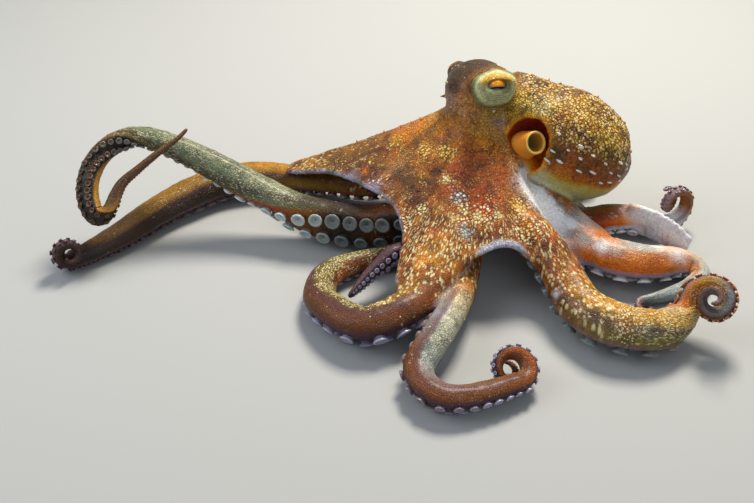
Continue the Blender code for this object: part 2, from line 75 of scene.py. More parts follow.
# Middle line of each arm (x, y, z), half thickness and roll of the sucker side;
# curl of the tip (turns, first and last radius, drift per turn, last half
# thickness); where the arm leaves the crown; where its free length is joined
# to the body's skin.
ARMS = {
    "arm_left_1": dict(
        run=[(70, 4, 50, 18, 20), (36, -5, 41, 18.5, 66), (-4, 2, 27, 19.5, 88),
             (-42, 12, 25, 19.5, 88), (-73, 20, 30, 18, 62), (-107, 32, 44, 15.8, 20),
             (-144, 42, 63, 13.5, -22), (-180, 48, 80, 11.4, -24), (-201, 49, 87, 10.6, 6),
             (-222, 45, 88, 10, 75), (-239, 33, 81, 10, 140), (-248, 17, 69, 10, 180),
             (-248, 2, 55, 10, 215), (-239, -11, 45.5, 9.2, 250), (-229, -9, 48, 7.6, 300),
             (-224, 2, 58, 5.8, 345), (-219, 10, 65, 4.8, 360), (-207, 18, 73, 3.9, 365),
             (-193, 26, 82, 3.3, 365), (-181, 32, 89, 2.7, 360), (-172, 37, 94, 2.2, 360),
             (-165, 43, 99, 1.6, 360)],
        curl=None, leaves=104, joins=116),
    "arm_right_1": dict(
        run=[(68, 30, 60, 18, 0), (26, 58, 41, 17, 8), (-7, 72, 24, 16.2, 16),
             (-40, 86, 18, 15.4, 22), (-74, 93, 16, 15.2, 22), (-110, 97, 16.5, 16.5, 18),
             (-143, 88, 17, 17, 14), (-172, 67, 17, 17, 12), (-199, 40, 15.5, 15.5, 12),
             (-226, 7, 13, 13.2, 12), (-250, -16, 10.5, 10.6, 12), (-263, -25, 9.2, 9.2, 12)],
        curl=(1.25, 11, 6, 13.4, 1.7), leaves=160, joins=172),
    "arm_left_2": dict(
        run=[(74, -22, 54, 19, 0), (63, -58, 42, 18.5, 12), (41, -94, 26.5, 17, 30),
             (15, -117, 21, 18.4, 42), (-9, -126, 18.5, 18, 45), (-33, -109, 16.5, 16.5, 40),
             (-47, -80, 14, 14.5, 24), (-41, -50, 12, 12.8, 5), (-21, -34, 11, 11.2, -10),
             (5, -26, 13, 9.8, 0), (20, -30, 21, 9.4, 50), (22, -40, 29, 9, 80),
             (13, -49, 32, 8.4, 90), (3, -58, 28, 7.4, 92), (-6, -65, 23, 6.2, 92),
             (-15, -72, 16.5, 4.5, 92), (-22, -77, 11, 2.6, 92)],
        curl=None, leaves=128, joins=140),
    "arm_left_3": dict(
        run=[(84, -14, 38, 13, 0), (76, -50, 24, 12.2, -20), (68, -90, 23.5, 12, -40),
             (54, -126, 25.5, 13.4, -50), (40, -152, 20.5, 13.5, -52), (31, -168, 15, 13.2, -52),
             (32, -183, 13.5, 13, -52), (46, -199, 13, 12.4, -52), (64, -200, 12.5, 11.6, -52),
             (84, -193, 12, 10.8, -52), (105, -183, 11.5, 9.8, -52)],
        curl=(1.45, 15, 7, 13.6, 1.8), leaves=130, joins=142),
    "arm_left_4": dict(
        run=[(102, -20, 54, 18, 0), (130, -44, 48, 17.5, -8), (149, -73, 32, 18.5, -16),
             (161, -105, 22, 20.5, -20), (180, -127, 21, 21.5, -24), (201, -133, 20, 20.5, -22),
             (220, -130, 19, 18, -10), (233, -122, 20, 15.2, 20), (241, -115, 24, 12.8, 60),
             (244, -109, 30, 11.6, 90)],
        curl=(1.75, 18.8, 5.2, 17.4, 2.0), leaves=142, joins=154),
    "arm_right_4": dict(
        run=[(110, 6, 56, 18, 0), (136, 1, 48, 19, -12), (159, -8, 30, 19.5, -22),
             (179, -24, 22, 19.5, -26), (202, -40, 19.5, 19.5, -28), (229, -45, 18.5, 18, -28),
             (252, -39, 16, 14.5, -28), (267, -40, 13.5, 11.4, -30), (272, -51, 11.5, 9.4, -40),
             (261, -62, 9.5, 7.6, -50), (245, -69, 7.5, 6.2, -60), (231, -74, 6.5, 5, -70),
             (219, -77, 6, 4, -80)],
        curl=(1.1, 6.5, 4.5, 6.5, 1.2), leaves=84, joins=98),
    "arm_right_3": dict(
        run=[(112, 26, 58, 17, 0), (148, 27, 38, 16.5, -14), (182, 23, 15, 14.8, -24),
             (210, 26, 16, 15.8, -30), (236, 27, 16, 13.5, -30), (252, 26, 12, 10.4, -20),
             (266, 29, 12, 8.4, -10), (275, 35, 16, 7.4, 0)],
        curl=(1.5, 12.5, 7.5, 12, 2.2), leaves=80, joins=158),
    "arm_right_2": dict(
        run=[(98, 44, 60, 17, 0), (112, 82, 50, 17.5, 0), (126, 116, 28, 16, 0),
             (146, 144, 16, 14.6, 0), (174, 162, 13, 12.8, -10), (200, 160, 11, 11, -20),
             (216, 142, 9.5, 9.4, -24), (214, 120, 8, 8, -24), (196, 108, 7, 6.6, -24)],
        curl=(1.3, 13, 6.5, 9, 1.4), leaves=130, joins=142),
}
PLEAT = [
    (222, 23, 24, 15, 5), (241, 12, 22, 16, 4.6), (258, -1, 19, 15, 4.2), (271, -14, 15, 11, 3.6),
]

# Free edge of the web: bearing, reach, height and sag of the skirt.
WEB_MIDDLE = (95, 30)
WEB = [(5, 92, 24, 26), (20, 90, 26, 22), (38, 88, 30, 14), (55, 100, 28, 8),
       (70, 122, 26, 4), (86, 98, 30, 6), (106, 88, 32, 6), (126, 96, 32, 2),
       (141, 116, 30, 3), (152, 160, 27, 4), (160, 205, 26, 4), (165, 182, 35, 1),
       (170, 148, 49, -2), (180, 124, 59, -3), (194, 104, 62, 0), (206, 95, 60, 3),
       (216, 96, 54, 4), (225, 106, 42, 6), (232, 130, 34, 8), (238, 150, 34, 8),
       (245, 154, 36, 6), (252, 128, 38, 5), (259, 108, 46, 4), (266, 102, 52, 3),
       (274, 100, 56, 3), (283, 101, 50, 4), (289, 112, 38, 6), (295, 138, 30, 8),
       (302, 136, 26, 12), (310, 116, 18, 18), (318, 108, 18, 22), (325, 128, 22, 20),
       (333, 134, 22, 20), (343, 108, 20, 24), (353, 98, 22, 27)]
NECK = (90, 54, 110)
NECK_RADIUS = 31
WEB_THICK = (7.0, 4.6)
CROWN_BALLS = [((95, 36, 76), (43, 41, 26)), ((95, 31, 56), (17, 17, 14)), ((90, 54, 106), (30, 30, 25))]
HEAD_BALLS = [((88, 63, 126), (29.5, 30.5, 26.5)), ((90, 55, 113), (31, 31, 18)),
              ((96, 47, 138.5), (21.2, 17.6, 18.7)), ((79.5, 77, 127.5), (18.5, 19.5, 17.5)),
              ((87, 64, 137), (18.5, 20.5, 14.5))]
MANTLE = [(106, 60, 122, 27), (119, 58, 113, 33), (138, 54, 98, 42.4), (158, 51, 86, 47.3),
          (179, 50, 75, 46.8), (197, 50, 67, 40.4), (210, 50, 61, 30.4), (219, 50, 58, 16.6)]
APERTURE = ((130, 22, 96), (19.5, 16.5, 24.5))
SIPHON = [
    (118, 36, 80, 14.5), (122, 30, 88, 14), (126.5, 23, 95.5, 12.8), (130.5, 16.5, 101, 11.4),
    (133, 12, 104, 10.4),
]

SKIN_VOXEL = 2.12      # mesh size of the body's skin
ARM_AROUND = 26        # points round an arm
ROOT_AROUND = 22       # points round an arm's root, below the web
WEB_GRID = (192, 28)   # points round and down the web, for its shape
FINE_GRID = (384, 56)  # the same, for finding places on it
UNSEEN = -3.0          # how far before its join an arm's root is cut away
SATURATION = 1.30      # colours of the skin against their greys
FLOOR_GAP = 0.3        # lowest point of an arm above the floor
EYE_RADIUS = 8.8       # eyeball without the bulge of its iris
LID_BALL = 9.35        # the lids' inner edge lies on a ball of this radius
LID_REACH = 18.6       # length of the lids' profile
LID_THICK = 2.2        # flesh of the lids
LID_FLAT = (6, 0.68)   # below the solids' top: where the ring flattens, and to what share


def linear(hex_colour):
    """sRGB hex to linear red, green, blue."""
    parts = [int(hex_colour[i:i + 2], 16) / 255 for i in (1, 3, 5)]
    return tuple(c / 12.92 if c <= 0.04045 else ((c + 0.055) / 1.055) ** 2.4 for c in parts)


def unit(v):
    v = np.asarray(v, float)
    return v / np.linalg.norm(v)


def turned(v, axis, angle):
    axis = unit(axis)
    return (v * math.cos(angle) + np.cross(axis, v) * math.sin(angle)
            + axis * (axis @ v) * (1 - math.cos(angle)))


def blend(a, b, share):
    return a + (b - a) * share


def ramp(x, a, b):
    """0 before a, 1 after b, smooth between."""
    t = np.clip((np.asarray(x, float) - a) / (b - a), 0, 1)
    return t * t * (3 - 2 * t)


def spline(rows, step):
    """Centripetal curve through rows; the first three columns are a place."""
    p = np.asarray(rows, float)
    p = np.vstack([2 * p[0] - p[1], p, 2 * p[-1] - p[-2]])
    out = []
    for i in range(1, len(p) - 2):
        a, b, c, d = p[i - 1:i + 3]
        t = [0.0]
        for u, v in ((a, b), (b, c), (c, d)):
            t.append(t[-1] + max(1e-6, np.linalg.norm((v - u)[:3])) ** 0.5)
        n = max(2, round(np.linalg.norm((c - b)[:3]) / step))
        for x in np.linspace(t[1], t[2], n, endpoint=False):
            ab = a + (b - a) * (x - t[0]) / (t[1] - t[0])
            bc = b + (c - b) * (x - t[1]) / (t[2] - t[1])
            cd = c + (d - c) * (x - t[2]) / (t[3] - t[2])
            e = ab + (bc - ab) * (x - t[0]) / (t[2] - t[0])
            g = bc + (cd - bc) * (x - t[1]) / (t[3] - t[1])
            out.append(e + (g - e) * (x - t[1]) / (t[2] - t[1]))
    out.append(p[-2])
    return np.array(out)


def arm_line(spec):
    """Dense samples of an arm: place, half thickness, direction, sucker side
    and distance along."""
    rows = spline(spec["run"], 2.0)
    half = rows[:, 3]
    place = rows[:, :3].copy()
    place[:, 2] = np.maximum(place[:, 2], half * FLAT)
    ahead = np.gradient(place, axis=0)
    ahead /= np.linalg.norm(ahead, axis=1)[:, None]
    down = np.array([0, 0, -1.0]) - ahead * (-ahead[:, 2])[:, None]
    down /= np.linalg.norm(down, axis=1)[:, None]
    oral = np.array([turned(d, t, math.radians(r)) for d, t, r in zip(down, ahead, rows[:, 4])])
    if spec["curl"]:
        turns, first, last, drift, end = spec["curl"]
        steps = round(44 * turns)
        p, t, o = place[-1], ahead[-1], oral[-1]
        axis = np.cross(t, o)
        bend = 2 * math.pi * turns / steps
        extra = []
        for k in range(1, steps + 1):
            share = k / steps
            radius = first * (last / first) ** share
            p = p + t * radius * bend + axis * drift * turns / steps
            t, o = (turned(v, axis, -bend) for v in (t, o))
            extra.append((p, half[-1] + (end - half[-1]) * share ** 0.8, t, o))
        place = np.vstack([place, [e[0] for e in extra]])
        half = np.concatenate([half, [e[1] for e in extra]])
        ahead = np.vstack([ahead, [e[2] for e in extra]])
        oral = np.vstack([oral, [e[3] for e in extra]])
    gone = np.concatenate([[0], np.cumsum(np.linalg.norm(np.diff(place, axis=0), axis=1))])
    return dict(place=place, half=half, ahead=ahead, oral=oral, gone=gone)


def at(line, s):
    """Place, half thickness, direction, sucker side and sideways at distance s."""
    get = lambda k: np.array([np.interp(s, line["gone"], line[k][:, i]) for i in range(3)])
    t = unit(get("ahead"))
    o = get("oral")
    o = unit(o - t * (o @ t))
    return get("place"), float(np.interp(s, line["gone"], line["half"])), t, o, np.cross(t, o)


def arm_section(count):
    """Unit section of an arm: round keeled back, flattened sucker side.
    Columns: sideways, towards the suckers, angle from the sucker side."""
    a = 2 * np.pi * (np.arange(count) + 0.5) / count
    x, y = np.sin(a) * 0.94, np.cos(a) * 0.93
    y = np.where(y > 0.48, 0.48 + (y - 0.48) * 0.2, y)
    keel = np.exp(-((a - np.pi) / 0.32) ** 2)
    return np.stack([x, y * (1 + 0.03 * keel), a], axis=1)


def arm_ring(line, s, section):
    p, half, t, o, side = at(line, s)
    pts = p + half * (section[:, :1] * side + section[:, 1:2] * o)
    pts[:, 2] = np.maximum(pts[:, 2], FLOOR_GAP)
    return pts


def as_object(name, mesh):
    obj = bpy.data.objects.new(name, mesh)
    bpy.context.scene.collection.objects.link(obj)
    return obj


def linked(name, verts, faces, outwards=True):
    """New mesh object from a list of places, in mm until set_down()."""
    mesh = bpy.data.meshes.new(name)
    mesh.from_pydata([tuple(p) for p in verts], [], [tuple(f) for f in faces])
    if outwards:
        bm = bmesh.new()
        bm.from_mesh(mesh)
        bmesh.ops.recalc_face_normals(bm, faces=bm.faces)
        bm.to_mesh(mesh)
        bm.free()
    return as_object(name, mesh)


def wall_faces(rings, around, first=0):
    """Four-sided faces between rings that follow one another from a first point."""
    return [[first + i * around + k, first + i * around + (k + 1) % around,
             first + (i + 1) * around + (k + 1) % around, first + (i + 1) * around + k]
            for i in range(rings - 1) for k in range(around)]


def tube(name, rings):
    """Closed skin through rings of equal size, flat ends."""
    n = len(rings[0])
    faces = wall_faces(len(rings), n)
    faces += [list(range(n))[::-1], [(len(rings) - 1) * n + k for k in range(n)]]
    return linked(name, np.vstack(rings), faces)


def hoop_ways(ahead):
    """Way ahead, downwards and sideways of a hoop that stands square to its line."""
    t = unit(ahead)
    d = unit(np.array([0, 0, -1.0]) + t * t[2])
    return t, d, np.cross(t, d)


def finder(points):
    """Tree that finds the nearest of the points."""
    tree = KDTree(len(points))
    for k, p in enumerate(points):
        tree.insert(p, k)
    tree.balance()
    return tree


def ball(name, centre, radii, rings=16, around=28):
    mesh = bpy.data.meshes.new(name)
    bm = bmesh.new()
    bmesh.ops.create_uvsphere(bm, u_segments=around, v_segments=rings, radius=1.0,
                              matrix=Matrix.Translation(centre) @ Matrix.Diagonal((*radii, 1.0)))
    bm.to_mesh(mesh)
    bm.free()
    return as_object(name, mesh)


def in_order(items):
    """The items as found, each once; a set would change their order from run to run."""
    return dict.fromkeys(items)


def drop(*objs):
    for o in objs:
        bpy.data.objects.remove(o, do_unlink=True)


def evaluated(obj):
    """Write an object's modifiers into its mesh."""
    bpy.context.view_layer.update()
    graph = bpy.context.evaluated_depsgraph_get()
    mesh = bpy.data.meshes.new_from_object(obj.evaluated_get(graph))
    obj.modifiers.clear()
    obj.data = mesh
    return obj


def places(obj):
    co = np.empty(len(obj.data.vertices) * 3, np.float32)
    obj.data.vertices.foreach_get("co", co)
    return co.reshape(-1, 3).astype(float)


def put_places(obj, co):
    obj.data.vertices.foreach_set("co", np.asarray(co, np.float32).ravel())
    obj.data.update()


def outward(obj):
    n = np.empty(len(obj.data.vertices) * 3, np.float32)
    obj.data.vertex_normals.foreach_get("vector", n)
    return n.reshape(-1, 3).astype(float)


def set_down(obj):
    """From the drawing frame in mm to the part's frame in metres."""
    put_places(obj, (places(obj) + SHIFT) * MM)
    obj.data.polygons.foreach_set("use_smooth", [True] * len(obj.data.polygons))
    obj.data.update()
    return obj


def give(obj, name, values, kind="FLOAT_COLOR"):
    """Per-point attribute on a mesh."""
    values = np.asarray(values, np.float32)
    if kind == "FLOAT_COLOR" and values.shape[1] == 3:
        values = np.hstack([values, np.ones((len(values), 1), np.float32)])
    layer = obj.data.attributes.new(name, kind, "POINT")
    layer.data.foreach_set({"FLOAT_COLOR": "color", "FLOAT_VECTOR": "vector", "FLOAT": "value"}[kind],
                           values.ravel())


def rough(points, size, octaves=3, seed=0.0):
    """Smooth noise, about -1 to 1, with features of the given size in mm."""
    return np.array([noise.fractal(Vector(p / size + seed), 1.0, 2.0, octaves) for p in points])


# ---------------------------------------------------------------- the web
def web_profile(around, down):
    """Outer face of the tent between the neck and the web's free edge, as a grid of places."""
    table = np.array(sorted(WEB), float)
    rows = np.vstack([table[-3:] - [360, 0, 0, 0], table, table[:3] + [360, 0, 0, 0]])
    grid = np.zeros((around, down + 1, 3))
    for i in range(around):
        bearing = 360 * i / around
        k = int(np.searchsorted(rows[:, 0], bearing, side="right"))
        a, b, c, d = rows[k - 2], rows[k - 1], rows[k], rows[k + 1]
        f = (bearing - b[0]) / (c[0] - b[0])
        m1 = (c[1:] - a[1:]) / (c[0] - a[0]) * (c[0] - b[0])
        m2 = (d[1:] - b[1:]) / (d[0] - b[0]) * (c[0] - b[0])
        reach, height, sag = ((2 * f**3 - 3 * f**2 + 1) * b[1:] + (f**3 - 2 * f**2 + f) * m1
                              + (3 * f**2 - 2 * f**3) * c[1:] + (f**3 - f**2) * m2)
        way = np.array([math.cos(math.radians(bearing)), math.sin(math.radians(bearing)), 0])
        top = np.array(NECK, float) + way * NECK_RADIUS
        rim = np.array([WEB_MIDDLE[0], WEB_MIDDLE[1], 0]) + way * reach
        rim[2] = height
        for j in range(down + 1):
            t = j / down
            grid[i, j] = top + (rim - top) * t - np.array([0, 0, sag * 4 * t * (1 - t) ** 1.5])
    return grid


def web_faces_out(grid):
    across = np.roll(grid, -1, axis=0) - np.roll(grid, 1, axis=0)
    out = np.cross(across, np.gradient(grid, axis=1))
    out /= np.linalg.norm(out, axis=2)[:, :, None]
    out[out[:, :, 2] < 0] *= -1
    return out


def skirt():
    """The web as a closed sheet of flesh, thicker above."""
    grid = web_profile(*WEB_GRID)
    around, down = grid.shape[0], grid.shape[1] - 1
    thick = np.linspace(WEB_THICK[0], WEB_THICK[1], down + 1)
    inner = grid - web_faces_out(grid) * thick[None, :, None]
    n, m = down + 1, around * (down + 1)
    faces = []
    for i in range(around):
        j2 = (i + 1) % around
        for j in range(down):
            a, b, c, d = i * n + j, i * n + j + 1, j2 * n + j + 1, j2 * n + j
            faces += [[a, b, c, d], [m + a, m + d, m + c, m + b]]
        faces.append([i * n + down, m + i * n + down, m + j2 * n + down, j2 * n + down])
    faces += [[i * n for i in range(around)], [m + i * n for i in range(around)][::-1]]
    return linked("skirt", np.vstack([grid.reshape(-1, 3), inner.reshape(-1, 3)]), faces)


# ---------------------------------------------------------------- the body's skin
def mantle_sac(sides=44):
    """Sac of the mantle, with its blunt end rounded off by two small rings."""
    rows = spline(MANTLE, 6.0)
    ahead = np.gradient(rows[:, :3], axis=0)
    rings = []
    for row, t in zip(rows, ahead):
        _, d, side = hoop_ways(t)
        rings.append(np.array([row[:3] + row[3] * (math.cos(a) * d + math.sin(a) * side)
                               for a in 2 * np.pi * (np.arange(sides) + 0.5) / sides]))
    tip, way = rows[-1, :3], unit(ahead[-1])
    rings.append(tip + (rings[-1] - tip) * 0.6 + way * 4)
    rings.append(tip + (rings[-1] - tip - way * 4) * 0.3 + way * 6)
    return tube("sac", rings)


def pleat(sides=20):
    """Fold of skin under the third right arm, a little inside its solid."""
    rows = spline(PLEAT, 3.0)
    ahead = np.gradient(rows[:, :3], axis=0)
    rings = []
    for row, t in zip(rows, ahead):
        _, d, side = hoop_ways(t)
        rings.append(np.array([row[:3] + 0.97 * row[3] * math.cos(a) * d + 0.95 * row[4] * math.sin(a) * side
                               for a in 2 * np.pi * (np.arange(sides) + 0.5) / sides]))
    return tube("pleat", rings)


lines = {name: arm_line(spec) for name, spec in ARMS.items()}
root_section = arm_section(ROOT_AROUND)
solids = [skirt(), pleat()]
solids += [ball("b", c, r) for c, r in CROWN_BALLS + HEAD_BALLS]
sac = mantle_sac()
hollow = ball("hollow", *APERTURE, 20, 32)
cut = sac.modifiers.new("aperture", "BOOLEAN")
cut.operation, cut.solver, cut.object = "DIFFERENCE", "EXACT", hollow
evaluated(sac)
drop(hollow)
solids.append(sac)
for name, spec in ARMS.items():
    end = spec["joins"] + 9
    solids.append(tube("root", [arm_ring(lines[name], s, root_section)
                                for s in np.linspace(0, end, int(end / 4))]))

bm = bmesh.new()
for o in solids:
    bm.from_mesh(o.data)
mesh = bpy.data.meshes.new("body")
bm.to_mesh(mesh)
bm.free()
drop(*solids)
body = as_object("body", mesh)
melt = body.modifiers.new("melt", "REMESH")
melt.mode, melt.voxel_size, melt.adaptivity = "VOXEL", SKIN_VOXEL, 0.0
soft = body.modifiers.new("soften", "SMOOTH")
soft.factor, soft.iterations = 0.5, 5
evaluated(body)

# Open the skin at each arm's join and weld the arm's own skin to it.
bm = bmesh.new()
bm.from_mesh(body.data)
seams = {}
for name, spec in ARMS.items():
    centre, half, t, o, side = at(lines[name], spec["joins"])
    beyond = in_order(v for v in bm.verts
                      if (np.array(v.co) - centre) @ t > UNSEEN
                      and np.linalg.norm(np.array(v.co) - centre) < half + 16)
    tip = min(beyond, key=lambda v: np.linalg.norm(np.array(v.co) - centre - t * 9))
    todo, part = [tip], in_order([tip])
    while todo:
        v = todo.pop()
        for e in v.link_edges:
            w = e.other_vert(v)
            if w in beyond and w not in part:
                part[w] = None
                todo.append(w)
    faces = in_order(f for v in part for f in v.link_faces)
    geom = list(faces)
    geom += list(in_order(e for f in faces for e in f.edges))
    geom += list(in_order(v for f in faces for v in f.verts))
    before = {e for e in bm.edges if e.is_boundary}
    bmesh.ops.bisect_plane(bm, geom=geom, dist=1e-4, plane_co=Vector(centre), plane_no=Vector(t),
                           clear_outer=True)
    seams[name] = [e for e in bm.edges if e.is_boundary and e not in before]

section = arm_section(ARM_AROUND)
tag = bm.verts.layers.float_vector.new("arm_way")
number = bm.verts.layers.int.new("arm_number")
for v in bm.verts:
    v[number] = -1
bm.verts.ensure_lookup_table()
for index, (name, spec) in enumerate(ARMS.items()):
    line = lines[name]
    s, end = spec["joins"] + 2.4, line["gone"][-1]
    stations = []
    while s < end - 0.4:
        stations.append(s)
        half = float(np.interp(s, line["gone"], line["half"]))
        s += min(2.6, 0.7 + 0.15 * half)
    rows = []
    for s in stations:
        row = []
        for p, a in zip(arm_ring(line, s, section), section[:, 2]):
            v = bm.verts.new(p)
            v[tag] = (s, a, 0)
            v[number] = index
            row.append(v)
        rows.append(row)
    centre, half, t, o, side = at(line, end)
    for far, size in ((0.3, 0.75), (0.62, 0.4)):
        row = []
        for x, y, a in section:
            v = bm.verts.new(centre + half * (size * (x * side + y * o) + far * t))
            v[tag] = (end, a, 0)
            v[number] = index
            row.append(v)
        rows.append(row)
    for r0, r1 in zip(rows, rows[1:]):
        for k in range(ARM_AROUND):
            k2 = (k + 1) % ARM_AROUND
            bm.faces.new((r0[k], r0[k2], r1[k2], r1[k]))
    bm.faces.new(rows[-1])
    ring = [e for v in rows[0] for e in v.link_edges if e.other_vert(v) in rows[0] and e.is_boundary]
    bmesh.ops.bridge_loops(bm, edges=list(in_order(ring)) + seams[name])
bmesh.ops.recalc_face_normals(bm, faces=bm.faces)
loose = [v for v in bm.verts if not v.link_faces]
bmesh.ops.delete(bm, geom=loose, context="VERTS")
for name, spec in ARMS.items():
    centre, half, t, o, side = at(lines[name], spec["joins"])
    near = [v for v in bm.verts if abs((np.array(v.co) - centre) @ t) < 7
            and np.linalg.norm(np.array(v.co) - centre) < half + 9]
    for _ in range(6):
        bmesh.ops.smooth_vert(bm, verts=near, factor=0.5,
                              use_axis_x=True, use_axis_y=True, use_axis_z=True)
bmesh.ops.triangulate(bm, faces=[f for f in bm.faces if len(f.verts) > 4])
print("open edges", sum(e.is_boundary for e in bm.edges),
      "odd edges", sum(not e.is_manifold for e in bm.edges),
      "skin triangles", sum(len(f.verts) - 2 for f in bm.faces))
ways = np.array([v[tag] for v in bm.verts])
numbers = np.array([v[number] for v in bm.verts])
bm.verts.layers.float_vector.remove(tag)
bm.verts.layers.int.remove(bm.verts.layers.int["arm_number"])
skin = bpy.data.objects.new("skin", bpy.data.meshes.new("skin"))
bm.to_mesh(skin.data)
bm.free()
drop(body)
bpy.context.scene.collection.objects.link(skin)
skin.data.polygons.foreach_set("use_smooth", [True] * len(skin.data.polygons))

# ---------------------------------------------------------------- what each point of the skin belongs to
P, N = places(skin), outward(skin)
count = len(P)
names = list(ARMS)
samples = [(index, k) for index, name in enumerate(names) for k in range(len(lines[name]["place"]))
           if lines[name]["gone"][k] < ARMS[name]["joins"] + 4]
near_arm = finder([lines[names[index]]["place"][k] for index, k in samples])
arm = numbers.copy()
along = ways[:, 0].copy()
angle = ways[:, 1].copy()
close = np.ones(count)                  # 1 on an arm, 0 well away from one
for i in np.nonzero(numbers < 0)[0]:
    _, hit, _ = near_arm.find(P[i])
    arm[i], k = samples[hit]
    line = lines[names[arm[i]]]
    gap = P[i] - line["place"][k]
    t, o = line["ahead"][k], line["oral"][k]
    o = unit(o - t * (o @ t))
    angle[i] = math.atan2(gap @ np.cross(t, o), gap @ o) % (2 * math.pi)
    along[i] = line["gone"][k] + gap @ t
    close[i] = 1 - ramp(np.linalg.norm(gap - t * (gap @ t)) / line["half"][k], 1.05, 1.5)

grid = web_profile(*FINE_GRID)
flat_grid = grid.reshape(-1, 3)
out_grid = web_faces_out(grid).reshape(-1, 3)
sheet = finder(flat_grid)
drop_share, outer = np.zeros(count), np.ones(count)
for i in np.nonzero(numbers < 0)[0]:
    _, k, _ = sheet.find(P[i])
    drop_share[i] = (k % (FINE_GRID[1] + 1)) / FINE_GRID[1]
    outer[i] = 1.0 if N[i] @ out_grid[k] > -0.1 else 0.0
radial = P[:, :2] - np.array([92, 42])
bearing = np.arctan2(radial[:, 1], radial[:, 0])
reach = np.linalg.norm(radial, axis=1)

rows = spline(MANTLE, 3.0)
sac_line = finder(rows[:, :3])
sac_share, sac_depth = np.zeros(count), np.full(count, 9.0)
for i in np.nonzero(numbers < 0)[0]:
    if P[i, 0] > 95 and P[i, 2] > 12:
        _, k, far = sac_line.find(P[i])
        sac_share[i], sac_depth[i] = k / (len(rows) - 1), far / rows[k, 3]
sac_way = unit((0.86, -0.06, -0.50))
past_neck = (P - np.array([111, 60, 120])) @ sac_way
on_mantle = ramp(past_neck, -5, 7) * (1 - ramp(sac_depth, 1.04, 1.14)) * (numbers < 0)
to_hole = (P - np.array(APERTURE[0])) / np.array(APERTURE[1])
hole_reach = np.linalg.norm(to_hole, axis=1)
facing_in = -np.einsum("ij,ij->i", N, to_hole) / np.maximum(hole_reach, 1e-6)
in_hole = (1 - ramp(hole_reach, 1.02, 1.12)) * ramp(facing_in, -0.2, 0.35) * on_mantle
on_head = ramp(P[:, 2], 106, 116) * (1 - on_mantle) * (numbers < 0)
on_web = (numbers < 0) * (1 - on_mantle) * (1 - on_head)

# ---------------------------------------------------------------- colours of the living skin
TONES = {k: np.array(linear(v)) for k, v in dict(
    rust="#96571f", brick="#a84a18", orange="#d47b24", amber="#d29c38", ochre="#ac8232", tan="#bb955a",
    dust="#a5815c", olive="#766c3a", moss="#565a34", umber="#4a3013", soot="#1d180e", plum="#4c3440",
    mauve="#7d6769", lilac="#9f9db6", slate="#6a7579", fog="#aab6b4", pale="#d9e0ea", cream="#f0e2ac",
    bone="#d2caa8", sage="#858f74", clay="#96602f", peach="#dca373", blood="#74300c", straw="#dfbf62",
    white="#f2f5f8", fern="#bcbe80", mist="#bccaca", bark="#33230f", reed="#747848", dun="#745434",
    rind="#6e4224", honey="#d2a436", night="#28221a", lichen="#ccd09c", dusk="#5e504c").items()}

